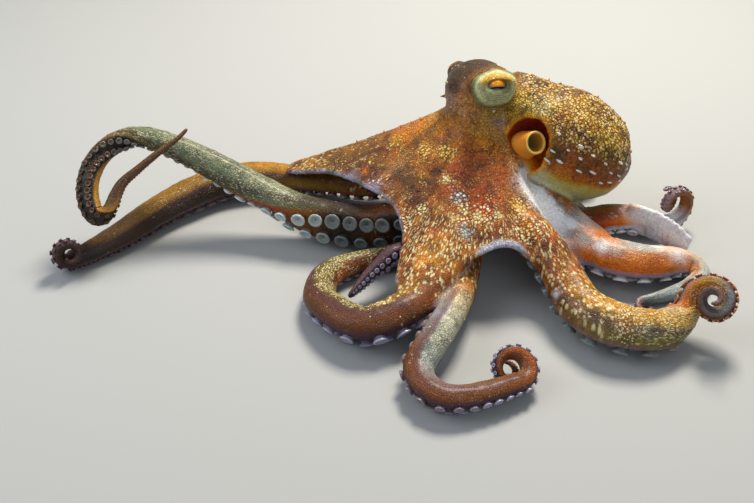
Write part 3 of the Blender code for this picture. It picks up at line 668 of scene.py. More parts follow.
# Per arm, by distance along: back, left wall, right wall, sucker side.
COATS = {
    # painted shade: the raised root under the web is soot and bark, and the sucker side of the loop is near
    # black (night)
    "arm_left_1": [(60, "soot", "soot", "soot", "soot"), (115, "bark", "bark", "bark", "bark"),
                   (145, "moss", "moss", "umber", "clay"), (175, "sage", "sage", "umber", "brick"),
                   (215, "sage", "moss", "umber", "brick"),
                   (270, "sage", "moss", "olive", "bark"), (300, "sage", "reed", "umber", "night"),
                   (350, "moss", "clay", "ochre", "night"), (400, "olive", "clay", "amber", "night"),
                   (430, "umber", "umber", "dun", "umber"),
                   (520, "dun", "umber", "dun", "dun")],
    # painted shade: the left wall, turned from the light, darkens to bark and soot further out
    "arm_right_1": [(60, "rust", "rust", "rust", "clay"), (120, "orange", "ochre", "ochre", "dun"),
                    (165, "amber", "ochre", "ochre", "mauve"), (200, "amber", "dun", "ochre", "mauve"),
                    (240, "ochre", "bark", "ochre", "mauve"),
                    (300, "ochre", "bark", "amber", "mauve"), (345, "dust", "umber", "ochre", "mauve"),
                    (390, "umber", "soot", "umber", "mauve"), (430, "plum", "umber", "plum", "plum")],
    "arm_left_2": [(60, "rust", "rust", "rust", "clay"), (100, "ochre", "rind", "rust", "plum"),
                   (150, "olive", "rind", "rind", "plum"), (200, "olive", "rind", "rind", "plum"),
                   (240, "olive", "rind", "orange", "plum"), (285, "olive", "olive", "rust", "plum"),
                   (315, "plum", "plum", "plum", "plum"), (450, "plum", "mauve", "plum", "plum")],
    "arm_left_3": [(45, "umber", "umber", "umber", "clay"), (68, "dun", "dun", "dun", "mauve"),
                   (88, "bone", "fog", "fog", "mauve"), (165, "fog", "sage", "rind", "plum"),
                   (195, "mauve", "olive", "rind", "plum"), (250, "dun", "umber", "rind", "plum"),
                   (300, "rind", "umber", "rust", "plum"), (420, "umber", "umber", "rind", "plum")],
    "arm_left_4": [(50, "rust", "orange", "rust", "clay"), (100, "ochre", "orange", "dun", "mauve"),
                   (170, "ochre", "orange", "olive", "mauve"), (215, "tan", "orange", "olive", "mauve"),
                   (235, "slate", "ochre", "sage", "mauve"), (262, "olive", "slate", "dusk", "plum"),
                   (300, "dusk", "dusk", "dusk", "rind"), (440, "umber", "dusk", "dusk", "rind")],
    "arm_right_4": [(30, "rust", "rust", "pale", "clay"), (62, "pale", "orange", "pale", "mauve"),
                    (92, "orange", "orange", "orange", "lilac"), (130, "fog", "orange", "orange", "lilac"),
                    (165, "peach", "orange", "orange", "lilac"), (192, "fog", "orange", "peach", "lilac"),
                    (212, "fog", "fog", "fog", "fog"), (252, "slate", "fog", "fog", "lilac"),
                    (266, "mauve", "mauve", "mauve", "mauve"), (330, "plum", "mauve", "plum", "plum")],
    "arm_right_3": [(30, "rust", "rust", "pale", "clay"), (70, "dun", "clay", "clay", "lilac"),
                    (95, "dun", "clay", "brick", "pale"), (118, "clay", "clay", "orange", "pale"),
                    (135, "peach", "orange", "peach", "pale"), (165, "pale", "fog", "pale", "lilac"),
                    (190, "clay", "plum", "clay", "mauve"), (330, "plum", "mauve", "plum", "lilac")],
    "arm_right_2": [(50, "rust", "rust", "rust", "clay"), (110, "ochre", "rust", "rust", "mauve"),
                    (200, "olive", "clay", "clay", "mauve"), (330, "plum", "plum", "plum", "mauve")],
}
# Pale flecks on each arm: colour, how thick on back, left and right wall, where they thin out,
# and how far round the back's own colour reaches (cosine).
FLECKS = {
    "arm_left_1": ("bone", 0.62, 0.62, 0.2, 330, -0.45), "arm_right_1": ("straw", 0.3, 0.12, 0.25, 330, -0.6),
    "arm_left_2": ("cream", 1.0, 0.03, 0.6, 300, -0.80), "arm_left_3": ("bone", 0.9, 0.6, 0.08, 165, -0.72),
    "arm_left_4": ("cream", 1.0, 0.45, 0.8, 250, -0.6), "arm_right_4": ("peach", 0.4, 0.3, 0.3, 150, -0.7),
    "arm_right_3": ("pale", 0.3, 0.2, 0.25, 110, -0.7), "arm_right_2": ("cream", 0.6, 0.4, 0.4, 200, -0.6),
}
# Painted shade: how much each arm's colours are darkened where it lies in shade.
ARM_PAINTED_SHADE = {"arm_left_1": 0.78, "arm_right_1": 0.56, "arm_left_2": 0.72, "arm_left_3": 0.88,
          "arm_right_2": 0.8}
# Patches on web, head and mantle: place, radius, tone, strength.
PATCHES = [
    (44, -12, 71, 9, "umber", 0.75), (46, -36, 62, 10, "umber", 0.7), (54, -50, 60, 8, "umber", 0.6),
    (37, -44, 55, 9, "bark", 0.6), (82, -16, 82, 9, "umber", 0.6), (62, 24, 98, 8, "bark", 0.55),
    (98, 2, 92, 8, "umber", 0.5), (20, 34, 84, 9, "umber", 0.5), (-34, 52, 60, 12, "bark", 0.5),
    (108, -50, 64, 7, "bark", 0.5), (48, 36, 98, 8, "umber", 0.45), (30, -14, 68, 8, "umber", 0.6),
    (34, 50, 96, 30, "tan", 0.45), (30, 48, 94, 14, "orange", 0.5), (87, 25, 108, 20, "tan", 0.35),
    (24, 21, 82, 13, "dust", 0.6), (11, 16, 75, 11, "slate", 0.4), (30, 2, 74, 11, "dust", 0.5),
    (-4, 4, 62, 11, "lilac", 0.75), (-24, 26, 60, 10, "lilac", 0.75), (108, 19, 103, 10, "dust", 0.55),
    (104, 28, 115, 7, "lilac", 0.5), (52, -19, 76, 12, "umber", 0.5), (101, -24, 79, 12, "umber", 0.5),
    (91, -38, 72, 9, "brick", 0.6), (114, -36, 68, 10, "umber", 0.45), (96, -54, 62, 9, "brick", 0.5),
    (38, 57, 101, 9, "orange", 0.5), (62, 31, 105, 12, "orange", 0.55), (46, 59, 105, 11, "dust", 0.5),
    (72, 22, 101, 9, "rust", 0.6), (64, -2, 90, 10, "brick", 0.8), (78, 9, 99, 12, "brick", 0.5),
    (72, 0, 92, 8, "blood", 0.6), (90, -6, 90, 16, "rust", 0.5), (102, -15, 84, 13, "brick", 0.45),
    (86, -35, 72, 13, "brick", 0.75), (100, -28, 76, 9, "orange", 0.5), (111, -66, 55, 12, "brick", 0.5),
    (95, -60, 60, 13, "umber", 0.65), (75, -57, 58, 10, "umber", 0.6), (59, 15, 93, 9, "amber", 0.85),
    (41, 21, 89, 7, "amber", 0.7), (51, 4, 81, 6, "soot", 0.85), (46, -2, 76, 6, "umber", 0.6),
    (35, -9, 68, 10, "umber", 0.5), (57, -11, 82, 4.5, "cream", 0.8), (67, -27, 75, 5.5, "fog", 0.75),
    (40, -22, 63, 5, "soot", 0.6), (36, -27, 61, 4, "soot", 0.5), (38, -25, 62, 3, "cream", 0.9),
    (63, -43, 66, 3.5, "cream", 0.8), (71, -38, 68, 3.5, "cream", 0.85), (82, -43, 66, 4, "cream", 0.9),
    (98, -45, 69, 4, "cream", 0.9), (71, -56, 60, 5.5, "fog", 0.75), (118, -31, 69, 10, "amber", 0.6),
    (124, -52, 60, 9, "amber", 0.5), (16, 45, 88, 8, "amber", 0.8), (-29, 62, 65, 14, "ochre", 0.6),
    (-52, 65, 52, 16, "ochre", 0.7), (-9, 43, 74, 13, "umber", 0.65), (-22, 50, 66, 7, "umber", 0.5),
    (-10, 25, 68, 3.5, "orange", 0.95), (16, 33, 84, 3.5, "orange", 0.9), (2, 18, 71, 3, "orange", 0.9),
    (20, 60, 92, 10, "orange", 0.4), (42, -78, 50, 18, "amber", 0.5), (58, -70, 55, 14, "ochre", 0.5),
    (28, -60, 50, 9, "dun", 0.5), (126, -2, 74, 13, "white", 1.0), (132, -9, 66, 15, "white", 1.0),
    (139, -15, 58, 14, "white", 1.0), (129, -5, 70, 13, "white", 1.0), (136, -12, 62, 13, "white", 1.0),
    (122, 3, 79, 7, "white", 0.9), (147, -20, 49, 12, "pale", 1.0), (154, -16, 46, 12, "pale", 0.8),
    (150, -45, 44, 11, "lilac", 0.75), (145, -32, 50, 10, "pale", 0.8), (156, -66, 36, 10, "fog", 0.6),
    (136, -40, 60, 7, "tan", 0.5), (158, -38, 38, 9, "lilac", 0.7), (-6, 70, 70, 20, "ochre", 0.6),
    # painted shade: the umber patches at (-40, 68, 60) and (-14, 52, 74) darken the web's upper left
    (-60, 80, 45, 30, "ochre", 0.7), (10, 95, 50, 30, "orange", 0.3), (-40, 68, 60, 24, "umber", 0.45),
    (-14, 52, 74, 16, "umber", 0.4), (22, -2, 72, 12, "umber", 0.45), (62, -20, 78, 9, "brick", 0.6),
    (78, -28, 74, 8, "blood", 0.5), (86, -20, 80, 8, "brick", 0.5), (68, 50, 126, 10, "lilac", 0.4),
    (76, 38, 128, 12, "peach", 0.3), (88, 66, 152, 14, "dun", 0.5), (76, 72, 146, 16, "bark", 0.9),
    (68, 84, 132, 18, "bark", 0.95), (63, 68, 130, 14, "bark", 0.9), (98, 30, 122, 12, "olive", 0.5),
    (122, 36, 134, 9, "straw", 0.7), (116, 30, 128, 7, "straw", 0.5), (112, 44, 138, 10, "amber", 0.6),
    (114, 28, 124, 9, "straw", 0.5), (131, 63, 141, 11, "umber", 0.8), (122, 60, 144, 9, "dun", 0.6),
    # the cream patch at (137, 28, 128) is a pale patch and in part a painted highlight
    (146, 52, 138, 12, "umber", 0.5), (137, 28, 128, 9, "cream", 0.95), (147, 33, 131, 9, "cream", 0.6),
    (128, 24, 124, 6, "straw", 0.9), (158, 44, 134, 10, "umber", 0.55), (168, 60, 130, 14, "umber", 0.5),
    (166, 28, 124, 15, "amber", 0.7), (184, 40, 120, 14, "umber", 0.5), (150, 20, 118, 9, "rust", 0.6),
    (205, 60, 105, 18, "olive", 0.6), (196, 24, 104, 14, "straw", 0.4),
]
# Clusters of pale grains: place, radius, how thick, how coarse, tone.
CLUSTERS = [
    (59, 15, 93, 10, 0.9, 1.0, "straw"), (41, 21, 89, 8, 0.7, 0.9, "straw"),
    (57, -11, 82, 7, 0.6, 1.0, "cream"), (67, -27, 75, 8, 0.7, 1.0, "pale"),
    (38, -25, 62, 8, 0.8, 1.0, "cream"), (71, -40, 67, 12, 0.4, 1.0, "cream"),
    (88, -42, 68, 14, 0.45, 1.0, "cream"), (71, -56, 60, 9, 0.7, 1.0, "fog"),
    (118, -31, 69, 12, 0.8, 1.0, "straw"), (124, -52, 60, 14, 0.6, 1.0, "cream"),
    (16, 45, 88, 12, 0.6, 0.8, "straw"), (-29, 60, 65, 22, 0.4, 0.3, "straw"),
    (-4, 30, 70, 10, 0.4, 0.6, "straw"), (46, -74, 52, 26, 0.75, 0.0, "cream"),
    (70, -78, 50, 16, 0.5, 0.0, "cream"), (0, 10, 62, 12, 0.4, 0.5, "pale"),
    (20, -30, 52, 12, 0.6, 0.6, "cream"), (105, 10, 100, 10, 0.3, 0.0, "tan"),
]
# Patches on the arms, laid over their coats.
LATE_PATCHES = [
    (232, 18, 30, 12, "white", 1.0), (242, 12, 30, 13, "white", 1.0), (252, 4, 26, 13, "white", 1.0),
    (262, -5, 22, 12, "white", 1.0), (270, -13, 17, 11, "white", 1.0), (246, 8, 14, 9, "pale", 1.0),
    (246, 22, 28, 9, "pale", 0.9), (258, -1, 12, 7, "peach", 0.5), (228, 20, 36, 5, "peach", 0.7),
    (175, -33, 38, 8, "fog", 0.7), (187, -42, 37, 9, "pale", 0.85), (199, -48, 36, 7, "fog", 0.6),
    (215, -52, 34, 8, "peach", 0.5), (165, -18, 44, 8, "pale", 0.8), (141, -102, 32, 4.5, "pale", 0.85),
    (214, -30, 36, 9, "pale", 0.6), (236, -36, 34, 8, "white", 0.7), (251, -43, 26, 10, "pale", 0.85),
    (226, -120, 36, 7, "fog", 0.7), (38, -140, 26, 8, "lilac", 0.5), (46, -128, 33, 6, "lilac", 0.5),
    (206, -146, 33, 7, "slate", 0.5), (170, -120, 36, 7, "orange", 0.4),
    (188, -140, 34, 7, "orange", 0.4),
]


def mixed(base, tone, share):
    """Each point's colour moved towards a tone by its own share."""
    return base + (tone - base) * np.clip(share, 0, 1)[:, None]


def laid(base, *layers):
    """Tones laid over a base one after the other; each layer is a name and its share."""
    for name, share in layers:
        base = mixed(base, TONES[name], share)
    return base


def plain_tone(name):
    return np.tile(TONES[name], (count, 1))


def near_to(x, y, z, r):
    """1 at a place, fading to nothing past its radius with a wandering edge."""
    far = np.linalg.norm(P - np.array([x, y, z]), axis=1) * (1 + 0.25 * warp)
    return np.exp(-(far / r) ** 2 * 1.3)


wander = rough(P, 22.0, 3)
warp = rough(P, 9.0, 3, 7.3)
blotch = rough(P, 14.0, 3, 11.9)
tone = laid(plain_tone("rust"),
    ("ochre", on_web * ramp(blotch + 0.3 * warp, 0.0, 0.5) * 0.5),
    ("orange", on_web * ramp(wander + 0.5 * warp, 0.05, 0.6) * 0.5),
    ("umber", on_web * ramp(-blotch - 0.4 * warp, 0.2, 0.8) * 0.6),
    ("tan", on_web * ramp(P[:, 2] + 8 * wander, 88, 112) * 0.3),
    # inside face of the web: orange, with painted shade (umber) deepening towards the middle of the tent
    ("orange", on_web * (1 - outer) * 0.7),
    ("umber", on_web * (1 - outer) * ramp(reach, 95, 40) * 0.8),
    ("dust", on_head * 0.5),
    ("ochre", on_head * ramp(P[:, 0], 84, 104) * 0.6),
    ("umber", on_head * ramp(P[:, 2] - 0.4 * P[:, 0], 103, 116) * 0.6))
behind = on_head * ramp(P[:, 1] + 3 * warp, 43, 52) * ramp(P[:, 2], 124, 138) * (1 - ramp(P[:, 0], 96, 108))

# mantle: gold grains on dark brown above, red brown at the sides, pale grey belly
sac_steps = np.linspace(0, 1, len(rows))
height = P[:, 2] - np.interp(sac_share, sac_steps, rows[:, 2])
height = height / np.interp(sac_share, sac_steps, rows[:, 3])
height = height + 0.10 * wander
low_band = 1 - ramp(height, 0.30, 0.55)
coat = laid(plain_tone("ochre"),
    ("umber", ramp(-blotch - 0.5 * warp, -0.1, 0.5) * 0.85),
    ("rust", ramp(warp, 0.0, 0.5) * 0.5),
    ("dun", low_band),
    ("rust", low_band * ramp(blotch, -0.3, 0.3) * 0.8),
    ("umber", low_band * ramp(warp, -0.1, 0.5) * 0.5),
    ("orange", (1 - ramp(height, -0.06, 0.12)) * 0.5),
    ("ochre", 1 - ramp(height, -0.18, -0.06)),
    ("fern", (1 - ramp(height, -0.30, -0.12)) * 0.8),
    ("fog", (1 - ramp(height, -0.6, -0.2)) * 0.45))
tone = mixed(tone, coat, on_mantle)

low_web = on_web * ramp(reach + 8 * warp, 74, 100) * outer
fleck = laid(plain_tone("tan"),
    ("straw", on_web * ramp(wander, -0.3, 0.4) * 0.6),
    ("cream", low_web * 0.6),
    ("straw", on_mantle * 0.9),
    ("cream", on_mantle * ramp(wander, 0.0, 0.5) * 0.7))
above = ramp(height + 0.1 * warp, 0.24, 0.46)
amount = (on_web * (0.34 + 0.40 * ramp(reach, 70, 105)) * outer + on_head * 0.3
          + on_mantle * above * (0.62 + 0.34 * ramp(blotch, -0.3, 0.3)))
coarse = on_mantle * above
streak = on_web * ramp(reach + 6 * warp, 76, 92) * outer
mottle = on_web * 0.85 + on_head * 0.7 + on_mantle * (0.03 + 0.87 * ramp(height, -0.2, -0.04))

for x, y, z, r, name, share in PATCHES:
    here = share * near_to(x, y, z, r) * (numbers < 0)
    tone = mixed(tone, TONES[name], here)
    if name in ("white", "pale", "fog", "lilac") and r > 8:
        calm = ramp(here, 0.25, 0.7)
        mottle = mottle * (1 - 0.9 * calm)
        amount = amount * (1 - 0.85 * calm)
        streak = streak * (1 - calm)
tone = mixed(tone, TONES["bark"], behind * 0.85)
amount = amount * (1 - 0.8 * behind)
for x, y, z, r, thick, size, name in CLUSTERS:
    here = near_to(x, y, z, r) * on_web * outer
    amount = amount + thick * here
    coarse = np.maximum(coarse, size * ramp(here, 0.15, 0.6))
    streak = streak * (1 - ramp(here, 0.2, 0.6) * (size > 0.1))
    fleck = mixed(fleck, TONES[name], ramp(here, 0.1, 0.5))

# smooth white side of the web under the siphon, from its upper to its lower end
top_end, low_end = np.array([127, -3, 73]), np.array([153, -25, 45])
run = low_end - top_end
share = np.clip((P - top_end) @ run / (run @ run), 0, 1)
aside = np.linalg.norm(P - top_end - share[:, None] * run, axis=1)
pale_side = on_web * outer * ramp(aside + 2 * warp, 17, 9)
# painted shade: the web's outer face is darkened towards the left
tone = tone * (1 - 0.28 * on_web * outer * ramp(P[:, 0], 44, 4))[:, None]
tone = mixed(tone, TONES["white"], pale_side)
amount = amount * (1 - 0.9 * pale_side)
mottle = mottle * (1 - 0.85 * pale_side)
streak = streak * (1 - pale_side)
amount = amount * (1 - 0.5 * on_web * ramp(P[:, 0], 40, 0) * ramp(P[:, 2], 50, 60))

# free edge of the web: thick grey-blue roll
front_arch = ramp(np.linalg.norm(P - np.array([95, -72, 52]), axis=1), 44, 26)
edge = on_web * ramp(drop_share + 0.03 * front_arch, 0.95, 0.99) * (1 - close)
lip = laid(plain_tone("slate"),
    ("lilac", ramp(wander, -0.4, 0.2)),
    ("pale", 0.45 * front_arch + 0.3 * ramp(warp, 0.1, 0.5)))
tone = mixed(tone, lip, edge * 0.95)
amount = amount * (1 - 0.7 * edge)
mottle = mottle * (1 - 0.6 * edge)

# arms
back, left, right, oral_tone = (np.zeros((count, 3)) for _ in range(4))
fleck_arm, thick, crest = np.zeros((count, 3)), np.zeros((count, 3)), np.zeros(count)
for index, name in enumerate(names):
    mine = arm == index
    s = np.array([row[0] for row in COATS[name]], float)
    for target, column in ((back, 1), (left, 2), (right, 3), (oral_tone, 4)):
        table = np.array([TONES[row[column]] for row in COATS[name]])
        for c in range(3):
            target[mine, c] = np.interp(along[mine] + 6 * wander[mine], s, table[:, c])
    fleck_arm[mine] = TONES[FLECKS[name][0]]
    thick[mine] = FLECKS[name][1:4]
    thick[mine] *= (1 - 0.85 * ramp(along[mine], FLECKS[name][4] - 25, FLECKS[name][4] + 25))[:, None]
    crest[mine] = FLECKS[name][5]
c, w = np.cos(angle), np.sin(angle)
blur = 0.12 * warp
walls = mixed(left, right, ramp(-w, -0.12, 0.12))
ridge = 1 - ramp(c + blur - crest, -0.14, 0.14)
arm_tone = mixed(walls, back, ridge)
arm_tone = laid(arm_tone,
    ("plum", 0.6 * ramp(c - crest, -0.1, 0.12) * (1 - ramp(c - crest, 0.15, 0.7))),
    ("umber", 0.45 * ramp(c, 0.05, 0.5)))
arm_tone = mixed(arm_tone, oral_tone, ramp(c + blur * 0.5, 0.25, 0.5))
arm_tone *= np.array([ARM_PAINTED_SHADE.get(n, 1.0) for n in names])[arm][:, None]
arm_fleck = thick[:, 0] * ridge + np.where(w > 0, thick[:, 1], thick[:, 2]) * (1 - ridge)
arm_fleck = arm_fleck * (1 - ramp(c, 0.1, 0.4))
joins = np.array([ARMS[n]["joins"] for n in names], float)[arm]
leaves = np.array([ARMS[n]["leaves"] for n in names], float)[arm]
hold = np.where(numbers >= 0, 1.0, close * ramp(along, leaves * 0.45, leaves * 0.95))
hold = hold * (1 - on_mantle) * (1 - on_head)
under = on_web * close * ramp(c, 0.1, 0.5) * ramp(along, 20, 45) * (1 - hold)
tone = mixed(tone, arm_tone, hold)
tone = mixed(tone, oral_tone, under)
fleck = mixed(fleck, fleck_arm, hold)
amount = amount + (arm_fleck - amount) * hold
mottle = mottle + (0.12 + 0.5 * np.minimum(1, arm_fleck * 1.6) - mottle) * hold
# no pale flecks on the raised arm's root, where its dark colour is painted shade
root_share = (arm == names.index("arm_left_1")) * ramp(close, 0.2, 0.6) * (1 - ramp(along, 125, 160))
amount = amount * (1 - root_share)
coarse = coarse * (1 - hold)
streak = streak * (1 - hold) + hold * 0.9 * ramp(np.abs(along - joins), 2, 12)

for x, y, z, r, name, share in LATE_PATCHES:
    here = share * near_to(x, y, z, r) * (1 - on_mantle)
    tone = mixed(tone, TONES[name], here)
    if name in ("white", "pale"):
        calm = ramp(here, 0.2, 0.6)
        mottle = mottle * (1 - 0.9 * calm)
        amount = amount * (1 - 0.9 * calm)

# inside the mantle's opening
brim = (1 - ramp(hole_reach, 1.08, 1.3)) * on_mantle * (1 - in_hole)
tone = laid(tone,
    ("amber", brim * 0.7),
    ("blood", in_hole),
    ("brick", in_hole * ramp(P[:, 2], 92, 112) * 0.6),
    ("orange", in_hole * (1 - ramp(P[:, 2], 84, 93))))
plain = np.maximum(in_hole, 0.8 * brim)
coarse = coarse * (1 - plain)
amount = amount * (1 - plain)
mottle = mottle * (1 - 0.85 * plain)

half_here = np.zeros(count)
for index, name in enumerate(names):
    mine = arm == index
    half_here[mine] = np.interp(along[mine], lines[name]["gone"], lines[name]["half"])
web_flow = np.stack([36 * np.cos(bearing), 36 * np.sin(bearing), reach / 7.5], axis=1)
arm_flow = np.stack([np.cos(angle) * half_here / 2.0, np.sin(angle) * half_here / 2.0,
                     along / 5 + 90 * (arm + 1)], axis=1)
own_flow = (numbers >= 0) | (along > joins - 1) & (close > 0.5)
flow = np.where(own_flow[:, None], arm_flow, web_flow)
grey = tone.mean(axis=1, keepdims=True)
tone = grey + (tone - grey) * SATURATION
give(skin, "tone", np.clip(tone, 0.002, 1))
give(skin, "fleck", np.clip(fleck, 0.002, 1))
give(skin, "ways", np.stack([amount, mottle, streak], axis=1), "FLOAT_VECTOR")
give(skin, "flow", flow, "FLOAT_VECTOR")
give(skin, "coarse", np.clip(coarse, 0, 1), "FLOAT")

# ---------------------------------------------------------------- relief of the skin
relief = 0.55 * rough(P, 7.0, 3, 3.1) + 0.25 * rough(P, 3.2, 2, 5.7)
folds = np.array([noise.fractal(Vector(f) * 0.35, 1.0, 2.0, 3) for f in flow])
lift = (on_web * outer * (0.5 * relief + 0.7 * folds * streak)
        + on_mantle * (1 - in_hole) * relief * (0.3 + 0.8 * ramp(height, -0.1, 0.3)) + on_head * relief * 0.7)
cross_wrinkle = np.sin(along * 2 * math.pi / (2.2 + 0.16 * half_here) + 2.5 * wander) * ramp(half_here, 2, 8)
lift = lift * (1 - hold) + hold * (
    0.30 * relief * ramp(half_here, 2, 10) + 0.45 * folds * ramp(half_here, 3, 12)
    + 0.10 * cross_wrinkle * (1 - ramp(np.abs(along - joins), 8, 2)))
# the pleat's own ripples, 6.5 mm apart
ruffle = near_to(252, 3, 22, 26) * (arm == names.index("arm_right_3")) * (numbers < 0)
ruffle = ruffle * ramp(P[:, 0], 228, 238)
lift = lift + 0.7 * ruffle * np.sin((P[:, 0] - 0.75 * P[:, 1]) * 2 * math.pi / 6.5 + 0.12 * P[:, 2])
raised = P + N * lift[:, None]
raised[:, 2] = np.maximum(raised[:, 2], FLOOR_GAP / 2)
raised = np.clip(raised, BOX_LOW / MM - SHIFT, BOX_HIGH / MM - SHIFT)
put_places(skin, raised)


# ---------------------------------------------------------------- materials
def add(tree, kind, sets=(), links=()):
    """A node with its settings; links: input name or number -> value or socket."""
    node = tree.nodes.new(kind)
    for key, value in dict(sets).items():
        setattr(node, key, value)
    for key, value in dict(links).items():
        if isinstance(value, bpy.types.NodeSocket):
            tree.links.new(value, node.inputs[key])
        else:
            node.inputs[key].default_value = value
    return node


def finish_named(name):
    material = bpy.data.materials.new(name)
    material.use_nodes = True
    tree = material.node_tree
    return material, tree, tree.nodes["Principled BSDF"]


# Kinds of node and settings that come back often; the IOR of soft tissue, mostly water.
ATTRIBUTE, MIX = "ShaderNodeAttribute", "ShaderNodeMix"
NOISE, CELLS = "ShaderNodeTexNoise", "ShaderNodeTexVoronoi"
MATH, VECTOR_MATH, MAP_RANGE = "ShaderNodeMath", "ShaderNodeVectorMath", "ShaderNodeMapRange"
FLESH_IOR = 1.38
SCALED, TIMES, TIMES_PLUS = {"operation": "SCALE"}, {"operation": "MULTIPLY"}, {"operation": "MULTIPLY_ADD"}
NUMBERS, COLOURS, EASED = {"data_type": "FLOAT"}, {"data_type": "RGBA"}, {"interpolation_type": "SMOOTHSTEP"}


def shader_set(shader, values):
    for key, value in values.items():
        shader.inputs[key].default_value = value


